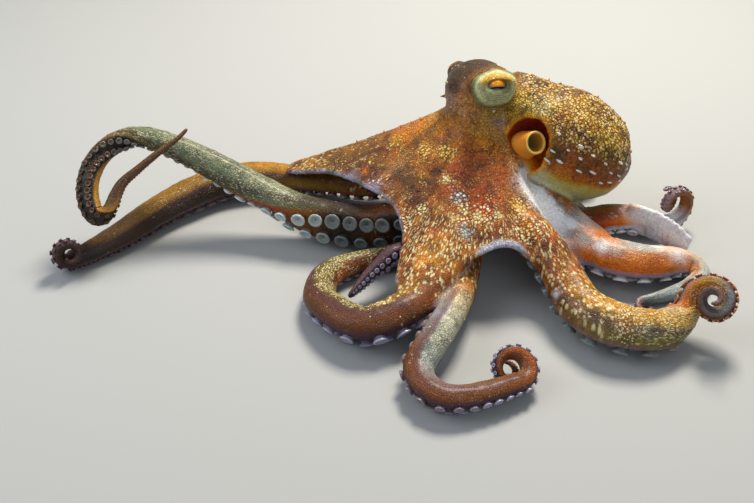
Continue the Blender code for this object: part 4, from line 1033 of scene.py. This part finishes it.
def living_skin(name, roughness, coat):
    """Wet octopus skin: a soft coloured ground of millimetre chromatophores, a net of
    darker creases, and pale raised flecks that gather in patches or run in streaks."""
    material, tree, shader = finish_named(name)
    place = add(tree, "ShaderNodeTexCoord").outputs["Object"]
    here = add(tree, VECTOR_MATH, SCALED, {0: place, "Scale": 1000.0}).outputs[0]
    flow = add(tree, ATTRIBUTE, {"attribute_name": "flow"}).outputs["Vector"]
    tone = add(tree, ATTRIBUTE, {"attribute_name": "tone"}).outputs["Color"]
    fleck = add(tree, ATTRIBUTE, {"attribute_name": "fleck"}).outputs["Color"]
    ways = add(tree, ATTRIBUTE, {"attribute_name": "ways"}).outputs["Vector"]
    ways = add(tree, "ShaderNodeSeparateXYZ", (), {0: ways}).outputs
    coarse = add(tree, ATTRIBUTE, {"attribute_name": "coarse"}).outputs["Fac"]
    # clouds of 12 mm, grain of 2.4 mm
    cloud = add(tree, NOISE, (),
                {"Vector": here, "Scale": 1 / 12, "Detail": 4.0, "Roughness": 0.62,
                 "Distortion": 0.4}).outputs["Fac"]
    grain = add(tree, NOISE, (),
                {"Vector": here, "Scale": 1 / 2.4, "Detail": 3.0, "Roughness": 0.6}).outputs["Fac"]
    bend = add(tree, NOISE, (), {"Vector": here, "Scale": 1 / 4, "Detail": 2.0}).outputs["Color"]
    bend = add(tree, VECTOR_MATH, SCALED, {0: bend, "Scale": 2.2}).outputs[0]
    bent = add(tree, VECTOR_MATH, {"operation": "ADD"}, {0: here, 1: bend}).outputs[0]
    # grains of 1.8 mm, or of 2.7 mm where the skin is coarse
    nets, grains = [], []
    for size in (1.8, 2.7):
        nets.append(add(tree, CELLS, {"feature": "DISTANCE_TO_EDGE"},
                        {"Vector": bent, "Scale": 1 / size}).outputs["Distance"])
        grains.append(add(tree, CELLS, {"feature": "F1"}, {"Vector": bent, "Scale": 1 / size}).outputs)
    net = add(tree, MIX, NUMBERS, {0: coarse, 2: nets[0], 3: nets[1]}).outputs[0]
    crease = add(tree, MAP_RANGE, EASED, {"Value": net, "From Min": 0.02, "From Max": 0.22}).outputs[0]
    cell_far = add(tree, MIX, NUMBERS,
                   {0: coarse, 2: grains[0]["Distance"], 3: grains[1]["Distance"]}).outputs[0]
    cell_pick = add(tree, MIX, COLOURS,
                    {0: coarse, 6: grains[0]["Color"], 7: grains[1]["Color"]}).outputs[2]
    lanes = add(tree, CELLS, {"feature": "F1"}, {"Vector": flow, "Scale": 1.9})
    ripple = add(tree, NOISE, (),
                 {"Vector": flow, "Scale": 0.9, "Detail": 4.0, "Roughness": 0.65}).outputs["Fac"]
    # ground: dark in the clouds, light and dark in the grain, a dark net
    dark = add(tree, MIX, {"data_type": "RGBA", "blend_type": "MULTIPLY"},
               {0: 1.0, 6: tone, 7: (0.30, 0.26, 0.26, 1)}).outputs[2]
    deep = add(tree, MAP_RANGE, EASED, {"Value": cloud, "From Min": 0.44, "From Max": 0.66}).outputs[0]
    deep = add(tree, MATH, TIMES, {0: deep, 1: ways["Y"]}).outputs[0]
    ground = add(tree, MIX, COLOURS, {0: deep, 6: tone, 7: dark}).outputs[2]
    strand = add(tree, MIX, NUMBERS, {0: ways["Z"], 2: grain, 3: ripple}).outputs[0]
    light = add(tree, MAP_RANGE, (),
                {"Value": strand, "From Min": 0.3, "From Max": 0.7, "To Min": 0.50,
                 "To Max": 1.50}).outputs[0]
    lively = add(tree, MATH, TIMES_PLUS, {0: ways["Y"], 1: 0.9, 2: 0.35}).outputs[0]
    light = add(tree, MIX, NUMBERS, {0: lively, 2: 1.0, 3: light}).outputs[0]
    ground = add(tree, VECTOR_MATH, SCALED, {0: ground, "Scale": light}).outputs[0]
    trough = add(tree, MATH, TIMES_PLUS, {0: ways["Y"], 1: -0.46, 2: 0.93}).outputs[0]
    trough = add(tree, MATH, TIMES_PLUS, {0: coarse, 1: -0.22, 2: trough}).outputs[0]
    lines_dark = add(tree, MIX, NUMBERS, {0: crease, 2: trough, 3: 1.05}).outputs[0]
    ground = add(tree, VECTOR_MATH, SCALED, {0: ground, "Scale": lines_dark}).outputs[0]
    # flecks: round grains, or streaks about 1 mm wide and 3 to 4 mm long, in clusters of 8 mm
    grain_dot = add(tree, MAP_RANGE, EASED,
                    {"Value": cell_far, "From Min": 0.56, "From Max": 0.34}).outputs[0]
    lane_dot = add(tree, MAP_RANGE, EASED,
                   {"Value": lanes.outputs["Distance"], "From Min": 0.55, "From Max": 0.28}).outputs[0]
    dot = add(tree, MIX, NUMBERS, {0: ways["Z"], 2: grain_dot, 3: lane_dot}).outputs[0]
    pick = add(tree, MIX, COLOURS, {0: ways["Z"], 6: cell_pick, 7: lanes.outputs["Color"]}).outputs[2]
    pick = add(tree, "ShaderNodeSeparateColor", (), {0: pick}).outputs
    cluster = add(tree, NOISE, (), {"Vector": here, "Scale": 1 / 8, "Detail": 2.0}).outputs["Fac"]
    chance = add(tree, MATH, TIMES_PLUS, {0: cluster, 1: 2.4, 2: pick[0]}).outputs[0]
    needed = add(tree, MAP_RANGE, (), {"Value": ways["X"], "To Min": 2.35, "To Max": 1.1}).outputs[0]
    chance = add(tree, MATH, {"operation": "SUBTRACT"}, {0: chance, 1: needed}).outputs[0]
    chance = add(tree, MAP_RANGE, (), {"Value": chance, "From Min": 0.0, "From Max": 0.35}).outputs[0]
    shown = add(tree, MATH, TIMES, {0: chance, 1: dot}).outputs[0]
    shown = add(tree, MATH, TIMES, {0: shown, 1: 0.85}).outputs[0]
    glow = add(tree, MAP_RANGE, (), {"Value": pick[1], "To Min": 0.62, "To Max": 1.12}).outputs[0]
    fleck = add(tree, VECTOR_MATH, SCALED, {0: fleck, "Scale": glow}).outputs[0]
    colour = add(tree, MIX, COLOURS, {0: shown, 6: ground, 7: fleck}).outputs[2]
    tree.links.new(colour, shader.inputs["Base Color"])
    rise = add(tree, MATH, TIMES_PLUS, {0: shown, 1: 0.7, 2: crease}).outputs[0]
    rise = add(tree, MATH, {"operation": "ADD"}, {0: rise, 1: strand}).outputs[0]
    bump = add(tree, "ShaderNodeBump", (),
               {"Strength": 0.75, "Distance": 0.0007, "Height": rise}).outputs[0]
    tree.links.new(bump, shader.inputs["Normal"])
    wet = add(tree, MAP_RANGE, (),
              {"Value": grain, "From Min": 0.3, "From Max": 0.7, "To Min": roughness - 0.08,
               "To Max": roughness + 0.1}).outputs[0]
    tree.links.new(wet, shader.inputs["Roughness"])
    shader_set(shader, {"Subsurface Weight": 0.12, "Subsurface Radius": (1.0, 0.45, 0.25),
                        "Subsurface Scale": 0.004, "Coat Weight": coat, "Coat Roughness": 0.22,
                        "IOR": FLESH_IOR})
    return material


def smooth_flesh(name, roughness, coat, spots, cupped=False):
    """Smooth wet flesh in the colour the piece carries, with faint spots of 1.3 mm."""
    material, tree, shader = finish_named(name)
    place = add(tree, "ShaderNodeTexCoord").outputs["Object"]
    here = add(tree, VECTOR_MATH, SCALED, {0: place, "Scale": 1000.0}).outputs[0]
    tone = add(tree, ATTRIBUTE, {"attribute_name": "tone"}).outputs["Color"]
    grain = add(tree, NOISE, (), {"Vector": here, "Scale": 1 / 1.3, "Detail": 3.0}).outputs["Fac"]
    light = add(tree, MAP_RANGE, (),
                {"Value": grain, "From Min": 0.3, "From Max": 0.7, "To Min": 1 - spots,
                 "To Max": 1 + spots}).outputs[0]
    colour = add(tree, VECTOR_MATH, SCALED, {0: tone, "Scale": light}).outputs[0]
    if cupped:
        shade = add(tree, ATTRIBUTE, {"attribute_name": "depth"}).outputs["Fac"]
        colour = add(tree, VECTOR_MATH, SCALED, {0: colour, "Scale": shade}).outputs[0]
    tree.links.new(colour, shader.inputs["Base Color"])
    bump = add(tree, "ShaderNodeBump", (),
               {"Strength": 0.4, "Distance": 0.0004, "Height": grain}).outputs[0]
    tree.links.new(bump, shader.inputs["Normal"])
    shader_set(shader, {"Roughness": roughness, "Subsurface Weight": 0.2,
                        "Subsurface Radius": (1.0, 0.5, 0.3), "Subsurface Scale": 0.004,
                        "Coat Weight": coat, "Coat Roughness": 0.12, "IOR": FLESH_IOR})
    return material


# Wet octopus skin: matt between its grains, with a thin film of water that gives soft glints.
# Sucker flesh: smooth and shiny, dark down in the cup.  Siphon flesh: smooth, a soft shine on the rim.
# Glossy eye: a clear wet surface with sharp highlights.
wet_skin = living_skin("wet_octopus_skin", 0.47, 0.10)
sucker_flesh = smooth_flesh("sucker_flesh", 0.36, 0.35, 0.12, cupped=True)
siphon_flesh = smooth_flesh("siphon_flesh", 0.38, 0.3, 0.10)
eye_surface = smooth_flesh("glossy_eye", 0.12, 1.0, 0.06)
skin.data.materials.append(wet_skin)
set_down(skin)
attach(skin, "root")
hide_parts(*[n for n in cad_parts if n.startswith(("arm", "crown", "head", "mantle"))])


# ---------------------------------------------------------------- repeated shapes, set out by Geometry Nodes
def setting_out():
    """Stands one small shape on every point: out, ahead and size say how."""
    tree = bpy.data.node_groups.new("set_out", "GeometryNodeTree")
    for name, kind in (("Points", "NodeSocketGeometry"), ("Shape", "NodeSocketObject"),
                       ("Size", "NodeSocketFloat"), ("Finish", "NodeSocketMaterial")):
        tree.interface.new_socket(name, in_out="INPUT", socket_type=kind)
    tree.interface.new_socket("Made", in_out="OUTPUT", socket_type="NodeSocketGeometry")
    given = add(tree, "NodeGroupInput").outputs
    read = {n: add(tree, "GeometryNodeInputNamedAttribute", {"data_type": "FLOAT_VECTOR"},
                   {"Name": n}).outputs[0]
            for n in ("out", "ahead", "size")}
    turn = add(tree, "FunctionNodeAlignRotationToVector", {"axis": "Z"}, {"Vector": read["out"]}).outputs[0]
    turn = add(tree, "FunctionNodeAlignRotationToVector", {"axis": "X", "pivot_axis": "Z"},
               {"Rotation": turn, "Vector": read["ahead"]}).outputs[0]
    size = add(tree, VECTOR_MATH, SCALED, {0: read["size"], "Scale": given["Size"]}).outputs[0]
    shape = add(tree, "GeometryNodeObjectInfo", (), {"Object": given["Shape"]}).outputs["Geometry"]
    made = add(tree, "GeometryNodeInstanceOnPoints", (),
               {"Points": given["Points"], "Instance": shape, "Rotation": turn, "Scale": size}).outputs[0]
    made = add(tree, "GeometryNodeRealizeInstances", (), {0: made}).outputs[0]
    made = add(tree, "GeometryNodeSetMaterial", (),
               {"Geometry": made, "Material": given["Finish"]}).outputs[0]
    add(tree, "NodeGroupOutput", (), {"Made": made})
    return tree


set_out = setting_out()


def small_shape(name, profile, around):
    """Little lathe-turned shape standing on the floor of its own space, closed at the top."""
    rings = [[(r * math.cos(a), r * math.sin(a), z) for a in 2 * np.pi * np.arange(around) / around]
             for r, z in profile[:-1]]
    verts = [p for ring in rings for p in ring] + [(0, 0, profile[-1][1])]
    faces = wall_faces(len(rings), around)
    last = (len(rings) - 1) * around
    faces += [[last + k, last + (k + 1) % around, len(verts) - 1] for k in range(around)]
    faces.append(list(range(around))[::-1])
    obj = linked(name, verts, faces)
    obj.data.polygons.foreach_set("use_smooth", [True] * len(obj.data.polygons))
    return obj


def stand(name, shape, points, out, ahead, size, extra, material):
    """One piece made of the shape standing on all points (mm)."""
    obj = linked(name, (np.array(points) + SHIFT) * MM, [], outwards=False)
    give(obj, "out", out, "FLOAT_VECTOR")
    give(obj, "ahead", ahead, "FLOAT_VECTOR")
    give(obj, "size", size, "FLOAT_VECTOR")
    for key, (values, kind) in extra.items():
        give(obj, key, values, kind)
    mod = obj.modifiers.new("set out", "NODES")
    mod.node_group = set_out
    keys = {item.name: item.identifier for item in set_out.interface.items_tree if item.in_out == "INPUT"}
    mod[keys["Shape"]], mod[keys["Size"]], mod[keys["Finish"]] = shape, MM, material
    evaluated(obj)
    put_places(obj, np.clip(places(obj), BOX_LOW, BOX_HIGH))
    for key in ("out", "ahead", "size"):
        if key in obj.data.attributes:
            obj.data.attributes.remove(obj.data.attributes[key])
    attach(obj, "root")
    return obj


# ---------------------------------------------------------------- suckers
SUCKER = [
    (0.86, -0.50), (0.74, 0.26), (1.0, 0.50), (1.0, 0.66), (0.82, 0.70), (0.55, 0.52), (0.20, 0.50),
    (0.11, 0.34), (0, 0.30),
]
SUCKER_AROUND = 11
SUCKER_SHARE = 0.335     # radius of a sucker against half the arm's thickness
SUCKER_ASIDE = 0.30      # the two rows stand this far from the middle, and lean as much
SUCKER_APART = 1.22      # from one sucker to the next, in radii
cup = small_shape("sucker_shape", SUCKER, SUCKER_AROUND)
# shade from the foot over the rim into the cup
depth = np.repeat([0.6, 0.55, 0.9, 1.05, 1.05, 0.78, 0.84, 0.5], SUCKER_AROUND).tolist() + [0.4]
give(cup, "depth", np.array(depth), "FLOAT")
now = places(skin) / MM - SHIFT
skin.data.calc_loop_triangles()
corners = np.empty(len(skin.data.loop_triangles) * 3, np.int32)
skin.data.loop_triangles.foreach_get("vertices", corners)
skin_tree = BVHTree.FromPolygons(now.tolist(), corners.reshape(-1, 3).tolist())
# Colour of the suckers near the web and towards the tip.
SUCKER_TONES = {
    "arm_left_1": ("mist", "umber"), "arm_right_1": ("mauve", "plum"), "arm_left_2": ("lilac", "lilac"),
    "arm_left_3": ("mauve", "lilac"), "arm_left_4": ("slate", "clay"), "arm_right_4": ("pale", "mauve"),
    "arm_right_3": ("pale", "mauve"), "arm_right_2": ("mauve", "mauve"),
}
# Painted shade on the suckers: distances along the arm between which they come out of the web's shade; nearer
# the web they are darkened.
SUCKER_SHADE_ENDS = {"arm_left_1": (150, 230), "arm_right_4": (90, 210), "arm_right_3": (60, 150)}
draw = np.random.default_rng(11)
for name, spec in ARMS.items():
    line = lines[name]
    s, end, row = 34.0, line["gone"][-1], 1
    spots, out, ahead, size, tones = [], [], [], [], []
    while s < end - 1.5:
        p, half, t, o, side = at(line, s)
        smaller = 0.06 * float(ramp(s, 270, 320)) if name == "arm_left_1" else 0
        r = (SUCKER_SHARE - smaller) * half * (0.92 + 0.16 * draw.random())
        if half < 1.5:
            break
        lean = unit(o + row * SUCKER_ASIDE * side)
        origin = p + row * SUCKER_ASIDE * half * side
        hit, normal, _, far = skin_tree.ray_cast(Vector(origin), Vector(lean))
        if hit is not None and far < 0.95 * half:
            spots.append(np.array(hit))
            out.append(unit(0.5 * lean + 0.5 * np.array(normal)))
            ahead.append(t)
            size.append((r, r, r))
            near, tip = (TONES[k] for k in SUCKER_TONES[name])
            colour = blend(near, tip, float(ramp(s / end, 0.45, 0.7)))
            colour = colour * (0.82 + 0.3 * draw.random())
            first, last = SUCKER_SHADE_ENDS.get(name, (0, end))
            # painted shade: suckers darkened towards the web
            colour = colour * (0.22 + 0.78 * float(ramp(s, first - 50, first)))
            tones.append(colour)
        s += SUCKER_APART * r
        row = -row
    stand(name + "_suckers", cup, spots, out, ahead, size, {"tone": (np.array(tones), "FLOAT_COLOR")},
          sucker_flesh)
drop(cup)


# ---------------------------------------------------------------- siphon
def siphon_piece():
    """Open tube: outer wall, rounded rim, and an inner wall that closes far inside."""
    line = spline(SIPHON, 1.6)
    ahead = np.gradient(line[:, :3], axis=0)
    around = 48
    a = 2 * np.pi * np.arange(around) / around
    verts, tones = [], []

    def ring(p, t, radius, tone, wave=0.0):
        _, d, side = hoop_ways(t)
        r = radius * (1 + wave * (0.5 * np.sin(3 * a + 0.6) + 0.5 * np.sin(7 * a)))
        verts.append(p + r[:, None] * (np.cos(a)[:, None] * d + np.sin(a)[:, None] * side))
        tones.append(np.tile(tone, (around, 1)))

    amber, orange, rust, straw, moss = (TONES[k] for k in ("amber", "orange", "rust", "straw", "moss"))
    for k, (p, t) in enumerate(zip(line, ahead)):
        share = k / (len(line) - 1)
        fold = 1 - 0.05 * math.sin(share * 3.2 * 2 * math.pi) * (1 - share)
        waist = 1 - 0.05 * float(ramp(share, 0.6, 0.85) - ramp(share, 0.88, 1.0))
        tone = blend(rust, blend(orange, amber, 0.45 * share), float(ramp(share, 0.1, 0.6)))
        ring(p[:3], t, p[3] * 0.95 * fold * waist, tone, 0.02 * (1 - share))
    mouth, way = line[-1, :3], unit(ahead[-1])
    rim = line[-1, 3] * 0.95
    # rounded rim; its crest is paler straw, a painted highlight
    for far, radius in ((0.7, 1.0), (1.3, 0.97), (1.6, 0.92), (1.5, 0.86), (1.0, 0.815), (0.2, 0.785)):
        ring(mouth + way * far * 0.6, way, rim * radius, blend(amber, straw, 0.2 + 0.4 * (far > 1.2)))
    for far, radius in ((-1.2, 0.77), (-3, 0.75), (-5, 0.72), (-8, 0.66), (-11, 0.56), (-14, 0.4),
                        (-15.5, 0.2)):
        tone = blend(blend(amber, orange, 0.3), moss, min(1.0, -far / 14))
        ring(mouth + way * far, way, rim * radius, tone)
    obj = tube("siphon_tube", verts)
    give(obj, "tone", np.vstack(tones))
    obj.data.materials.append(siphon_flesh)
    set_down(obj)
    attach(obj, "root")
    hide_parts("siphon")


siphon_piece()

# ---------------------------------------------------------------- eyes and lids
# Where each eye looks, how wide its ring of skin is, and the ring's tones.
EYES = {
    "eye_left": dict(way=(0.10, -0.87, 0.49), ring=19.7, upper="honey", lower="lichen", edge="reed"),
    "eye_right": dict(way=(-0.36, 0.90, 0.22), ring=13.0, upper="dun", lower="umber", edge="umber"),
}
IRIS, IRIS_RIM, PUPIL = (np.array(linear(c)) for c in ("#f29a06", "#b04a08", "#030303"))
# Lids from the eye's edge outwards: distance, height over the level of the ring.
UPPER_LID = np.array([(0, 0), (3.5, 3.4), (8.0, 3.8), (11.5, 2.0), (14.2, -1.4), (16.4, -6.5), (18.6, -15)])
LOWER_LID = np.array([(0, 0), (2.0, -0.6), (5.0, -0.4), (9.0, 0.9), (12.6, -0.4), (15.4, -5.0), (18.6, -14)])


def eye_frame(name):
    centre = np.array(EYE_PLACES[name], float)
    e = unit(EYES[name]["way"])
    y = unit(np.array([0, 0, 1.0]) - e * e[2])
    return centre, e, np.cross(y, e), y


def eyeball(name):
    """Ball with a raised oval iris and a slit pupil that lies low in it."""
    centre, e, x, y = eye_frame(name)
    around, rings = 72, 44
    verts, tones = [], []
    for i in range(rings + 1):
        lat = math.pi * i / rings
        for k in range(around):
            a = 2 * math.pi * k / around
            u, v, h = math.sin(lat) * math.cos(a), math.sin(lat) * math.sin(a), math.cos(lat)
            r = EYE_RADIUS
            px, py = u * r, v * r
            iris = 1 - math.hypot(px / 6.3, (py - 1.5) / 3.9)
            slit = 1 - math.hypot(px / 6.9, (py + 2.3) / 1.5)
            if h > 0:
                r += 1.3 * float(ramp(iris, -0.1, 0.7)) - 0.9 * float(ramp(slit, 0.0, 0.5))
            rim_share = float(ramp(iris, 0.0, 0.2) * (1 - ramp(iris, 0.2, 0.5))) * 0.4
            colour = 0.5 * TONES["moss"] + 0.5 * TONES["sage"]
            colour = blend(colour, IRIS, float(ramp(iris, 0.0, 0.22)))
            colour = blend(colour, IRIS_RIM, rim_share)
            colour = blend(colour, PUPIL, float(ramp(slit, -0.12, 0.12) if h > 0 else 0))
            verts.append(centre + r * (u * x + v * y + h * e))
            tones.append(colour)
    obj = linked(name + "_ball", verts, wall_faces(rings + 1, around))
    give(obj, "tone", np.array(tones))
    bm = bmesh.new()
    bm.from_mesh(obj.data)
    bmesh.ops.remove_doubles(bm, verts=bm.verts, dist=0.01)
    bmesh.ops.recalc_face_normals(bm, faces=bm.faces)
    bm.to_mesh(obj.data)
    bm.free()
    obj.data.materials.append(eye_surface)
    set_down(obj)
    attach(obj, "root")
    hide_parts(name)


def lids(name):
    """Turret of skin round the eye: two lids, creased below, a raised ring outside."""
    centre, e, x, y = eye_frame(name)
    look = EYES[name]
    low_top = BOX_HIGH[2] / MM - SHIFT[2] - LID_FLAT[0]
    around, rings = 96, 40
    verts, tones, ways_here = [], [], []
    for i in range(rings + 1):
        rho = i / rings
        for k in range(around):
            a = 2 * math.pi * k / around
            ca, sa = math.cos(a), math.sin(a)
            r0 = 1 / math.hypot(ca / 8.0, sa / (4.9 if sa > 0 else 3.8))
            top = float(ramp(sa, -0.35, 0.55))
            outer_r = look["ring"] + 0.9 * math.sin(2 * a + 1) + 0.5 * math.sin(5 * a) - 1.8 * top
            edge_h = math.sqrt(max(LID_BALL ** 2 - r0 ** 2, 4.0)) + 0.2
            r = r0 + (outer_r - r0) * rho
            go = (r - r0) / (outer_r - r0) * LID_REACH
            h_up = np.interp(go, *UPPER_LID.T)
            h_low = np.interp(go, *LOWER_LID.T)
            level = edge_h * (1 - float(ramp(go, 0, 14))) + 4.6 * float(ramp(go, 0, 14))
            h = level + h_up * 0.75 * top + h_low * (1 - top)
            crease = (1 - top) * float(ramp(go, 2, 5) * (1 - ramp(go, 11, 13.5)))
            # creases 2.3 mm apart that wander round the eye
            wave = (go + 0.9 * math.sin(3 * a) + 0.4 * math.sin(7 * a)) / 2.3
            h -= 0.75 * crease * (0.5 + 0.5 * math.cos(2 * math.pi * wave))
            h += 0.30 * float(ramp(go, 10, 14)) * math.sin(23 * a + 2 * math.sin(5 * a))
            if i == 0:
                r, h = r0 - 0.7, edge_h - 1.6
            elif i == 1:
                r, h = r0 - 0.15, edge_h + 0.1
            spot = centre + x * r * ca + y * r * sa + e * h
            if spot[2] > low_top:
                spot[2] = low_top + LID_FLAT[1] * (spot[2] - low_top)
            verts.append(spot)
            stripe = 0.5 + 0.5 * math.cos(2 * math.pi * (go + 0.8 * math.sin(3 * a)) / 2.1)
            # painted shadow: umber beside the opening on one side
            shade = float(ramp(ca, 0.3, 0.9)) * float(1 - ramp(go, 4, 9)) * 0.6
            colour = TONES[look["lower"]]
            colour = blend(colour, TONES[look["edge"]], float(ramp(go, 13.6, 17.0)))
            colour = blend(colour, TONES[look["edge"]], crease * 0.75 * stripe)
            colour = blend(colour, TONES[look["upper"]], top * float(1 - ramp(go, 9.5, 13.5)))
            colour = blend(colour, TONES["umber"], shade)
            # painted shade: darker at the lids' inner edge, where they meet the eyeball
            colour = colour * (1 - 0.55 * float(1 - ramp(go, 0.2, 1.4)))
            tones.append(colour)
            ways_here.append((0.12 + 0.25 * top, 0.25, 0.0))
    n = around
    faces = [[a, d, c, b] for a, b, c, d in wall_faces(rings + 1, n)]
    # closed behind by a shell that follows the front, so the lids are a solid ring
    m = len(verts)
    verts += [v - e * LID_THICK for v in verts]
    tones, ways_here = tones * 2, ways_here * 2
    faces += wall_faces(rings + 1, n, m)
    faces += [[k, (k + 1) % n, m + (k + 1) % n, m + k] for k in range(n)]
    last = rings * n
    faces += [[last + k, m + last + k, m + last + (k + 1) % n, last + (k + 1) % n] for k in range(n)]
    obj = linked(name + "_lids", verts, faces)
    give(obj, "tone", np.array(tones))
    give(obj, "fleck", np.tile(TONES["straw"], (len(verts), 1)))
    give(obj, "ways", np.array(ways_here), "FLOAT_VECTOR")
    give(obj, "coarse", np.zeros(len(verts)), "FLOAT")
    give(obj, "flow", np.array(verts) / 3, "FLOAT_VECTOR")
    obj.data.materials.append(wet_skin)
    set_down(obj)
    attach(obj, "root")


for name in EYES:
    eyeball(name)
    lids(name)

# ---------------------------------------------------------------- warts, streaks and horns of the skin
mound = small_shape("mound_shape", [(1.0, -0.35), (0.86, 0.28), (0.5, 0.72), (0, 0.86)], 8)
horn = small_shape("horn_shape", [(1.0, -0.3), (0.7, 0.5), (0.42, 1.3), (0.2, 2.0), (0, 2.35)], 8)
colours = {k: np.empty(len(now) * 4, np.float32) for k in ("tone", "fleck")}
for k in colours:
    skin.data.attributes[k].data.foreach_get("color", colours[k])
    colours[k] = colours[k].reshape(-1, 4)[:, :3]
skin_points = finder(now)
normals = outward(skin)


def warts(name, shape, rows):
    """rows: place, size (long, wide, high), direction, tone or None for the skin's own."""
    spots, out, ahead, size, tones = [], [], [], [], []
    for place, dims, way, colour in rows:
        _, k, _ = skin_points.find(place)
        spots.append(now[k])
        out.append(normals[k])
        way = np.asarray(way, float)
        ahead.append(unit(way - normals[k] * (way @ normals[k]) + 1e-6))
        size.append(dims)
        tones.append(colours["tone"][k] * 1.15 if colour is None else colour)
    tones = np.clip(np.array(tones), 0, 1)
    stand(name, shape, spots, out, ahead, size,
          {"tone": (tones, "FLOAT_COLOR"), "fleck": (np.clip(tones * 1.2, 0, 1), "FLOAT_COLOR"),
           "ways": (np.tile([0.1, 0.15, 0.0], (len(spots), 1)), "FLOAT_VECTOR"),
           "coarse": (np.zeros(len(spots)), "FLOAT"),
           "flow": (np.array(spots) / 3, "FLOAT_VECTOR")}, wet_skin)


MANTLE_WARTS, WEB_WARTS = 320, 500
chosen = np.nonzero((on_mantle > 0.9) & (in_hole < 0.1))[0]
draw = np.random.default_rng(5)
white_rows, gold_rows, taken = [], [], []
for k in draw.permutation(chosen):
    p = now[k]
    if any(np.linalg.norm(p - q) < r for q, r in taken[-400:]):
        continue
    if -0.02 < height[k] < 0.46 and sac_share[k] > 0.30:
        long = 1.7 + 2.0 * draw.random() ** 1.5
        taken.append((p, 9.5))
        dims = (long * 1.1, 1.0 + 0.45 * draw.random(), 0.9)
        colour = blend(TONES["white"], TONES["cream"], 0.35) * (0.85 + 0.25 * draw.random())
        white_rows.append((p, dims, sac_way, colour))
    elif height[k] >= 0.46 and draw.random() < 0.6:
        r = 0.8 + 0.8 * draw.random() ** 2
        taken.append((p, 9.0))
        colour = None if draw.random() < 0.5 else TONES["straw"]
        gold_rows.append((p, (r * 1.3, r, r), sac_way, colour))
    if len(taken) > MANTLE_WARTS:
        break
warts("mantle_streak_warts", mound, white_rows)
warts("mantle_round_warts", mound, gold_rows)
chosen = np.nonzero((on_web > 0.9) & (outer > 0.5) | (on_head > 0.9))[0]
web_rows = []
for k in draw.permutation(chosen)[:WEB_WARTS]:
    r = 0.5 + 0.8 * draw.random() ** 2
    colour = None if draw.random() < 0.75 else TONES["bone"]
    web_rows.append((now[k], (r, r, r * 0.9), radial[k].tolist() + [0.0], colour))
warts("web_warts", mound, web_rows)
# Horns: place, radius at the foot, tone or None for the skin's own.
HORNS = [((61, 64, 121), 2.0, None), ((97, 22, 131), 1.4, "bone"), ((40, 60, 98), 1.3, None),
         ((20, 66, 92), 1.1, None), ((98, 30, 124), 1.5, "bone"), ((30, 64, 96), 1.2, None),
         ((5, 72, 84), 1.1, None), ((-20, 80, 72), 1.0, None), ((145, 6, 87), 1.3, "bone"),
         ((100, 60, 152), 1.2, None), ((112, 66, 148), 1.0, None), ((150, 74, 132), 1.2, None),
         ((190, 60, 118), 1.1, None), ((60, 96, 134), 1.5, None), ((210, 40, 98), 1.0, None)]
warts("skin_horns", horn, [(p, (r, r, r), (0, 0, 1), TONES[name] if name else None) for p, r, name in HORNS])
drop(mound, horn)


# ---------------------------------------------------------------- studio
def camera():
    """Looks down on the animal by 36 degrees from 0.92 m away, 40 degrees wide."""
    data = bpy.data.cameras.new("camera")
    cam = as_object("camera", data)
    tilt, far, half_width = math.radians(36), 0.92, math.radians(20)
    target = Vector((SHIFT[0] * MM, SHIFT[1] * MM, 0))
    cam.location = target + Vector((0, -math.cos(tilt), math.sin(tilt))) * far
    cam.rotation_euler = (math.radians(90) - tilt, 0, 0)
    data.sensor_width = 36
    data.lens = data.sensor_width / 2 / math.tan(half_width)
    data.clip_start = 0.01
    bpy.context.scene.camera = cam


camera()
corners = [(-1500, -1500, 0), (1500, -1500, 0), (1500, 1500, 0), (-1500, 1500, 0)]
floor = linked("floor", corners, [(0, 1, 2, 3)])
put_places(floor, places(floor) * MM)
# matt painted board: a plain pale ground that mirrors nothing
plain, tree, shader = finish_named("plain_floor")
shader_set(shader, {"Base Color": (*linear("#9ca0a2"), 1), "Roughness": 0.85})
floor.data.materials.append(plain)
world = bpy.data.worlds.new("studio")
world.use_nodes = True
world.node_tree.nodes["Background"].inputs[0].default_value = (*linear("#f2f4f2"), 1)
world.node_tree.nodes["Background"].inputs[1].default_value = 0.36
bpy.context.scene.world = world
# Lamps: place in metres, width in metres, watts, colour.
LAMPS = [("key", (0.35, 0.75, 1.25), 0.45, 38, "#fff3e2"), ("side", (-1.0, -0.1, 0.9), 0.9, 8, "#f3f7ff"),
         ("front", (0.5, -1.3, 0.8), 1.4, 5, "#eef4ff")]
for name, place, size, power, tint in LAMPS:
    lamp = as_object(name, bpy.data.lights.new(name, "AREA"))
    lamp.data.energy, lamp.data.size, lamp.data.color = power, size, linear(tint)
    lamp.location = place
    lamp.rotation_euler = Vector(place).to_track_quat("Z", "Y").to_euler()
bpy.context.scene.view_settings.view_transform = "Standard"
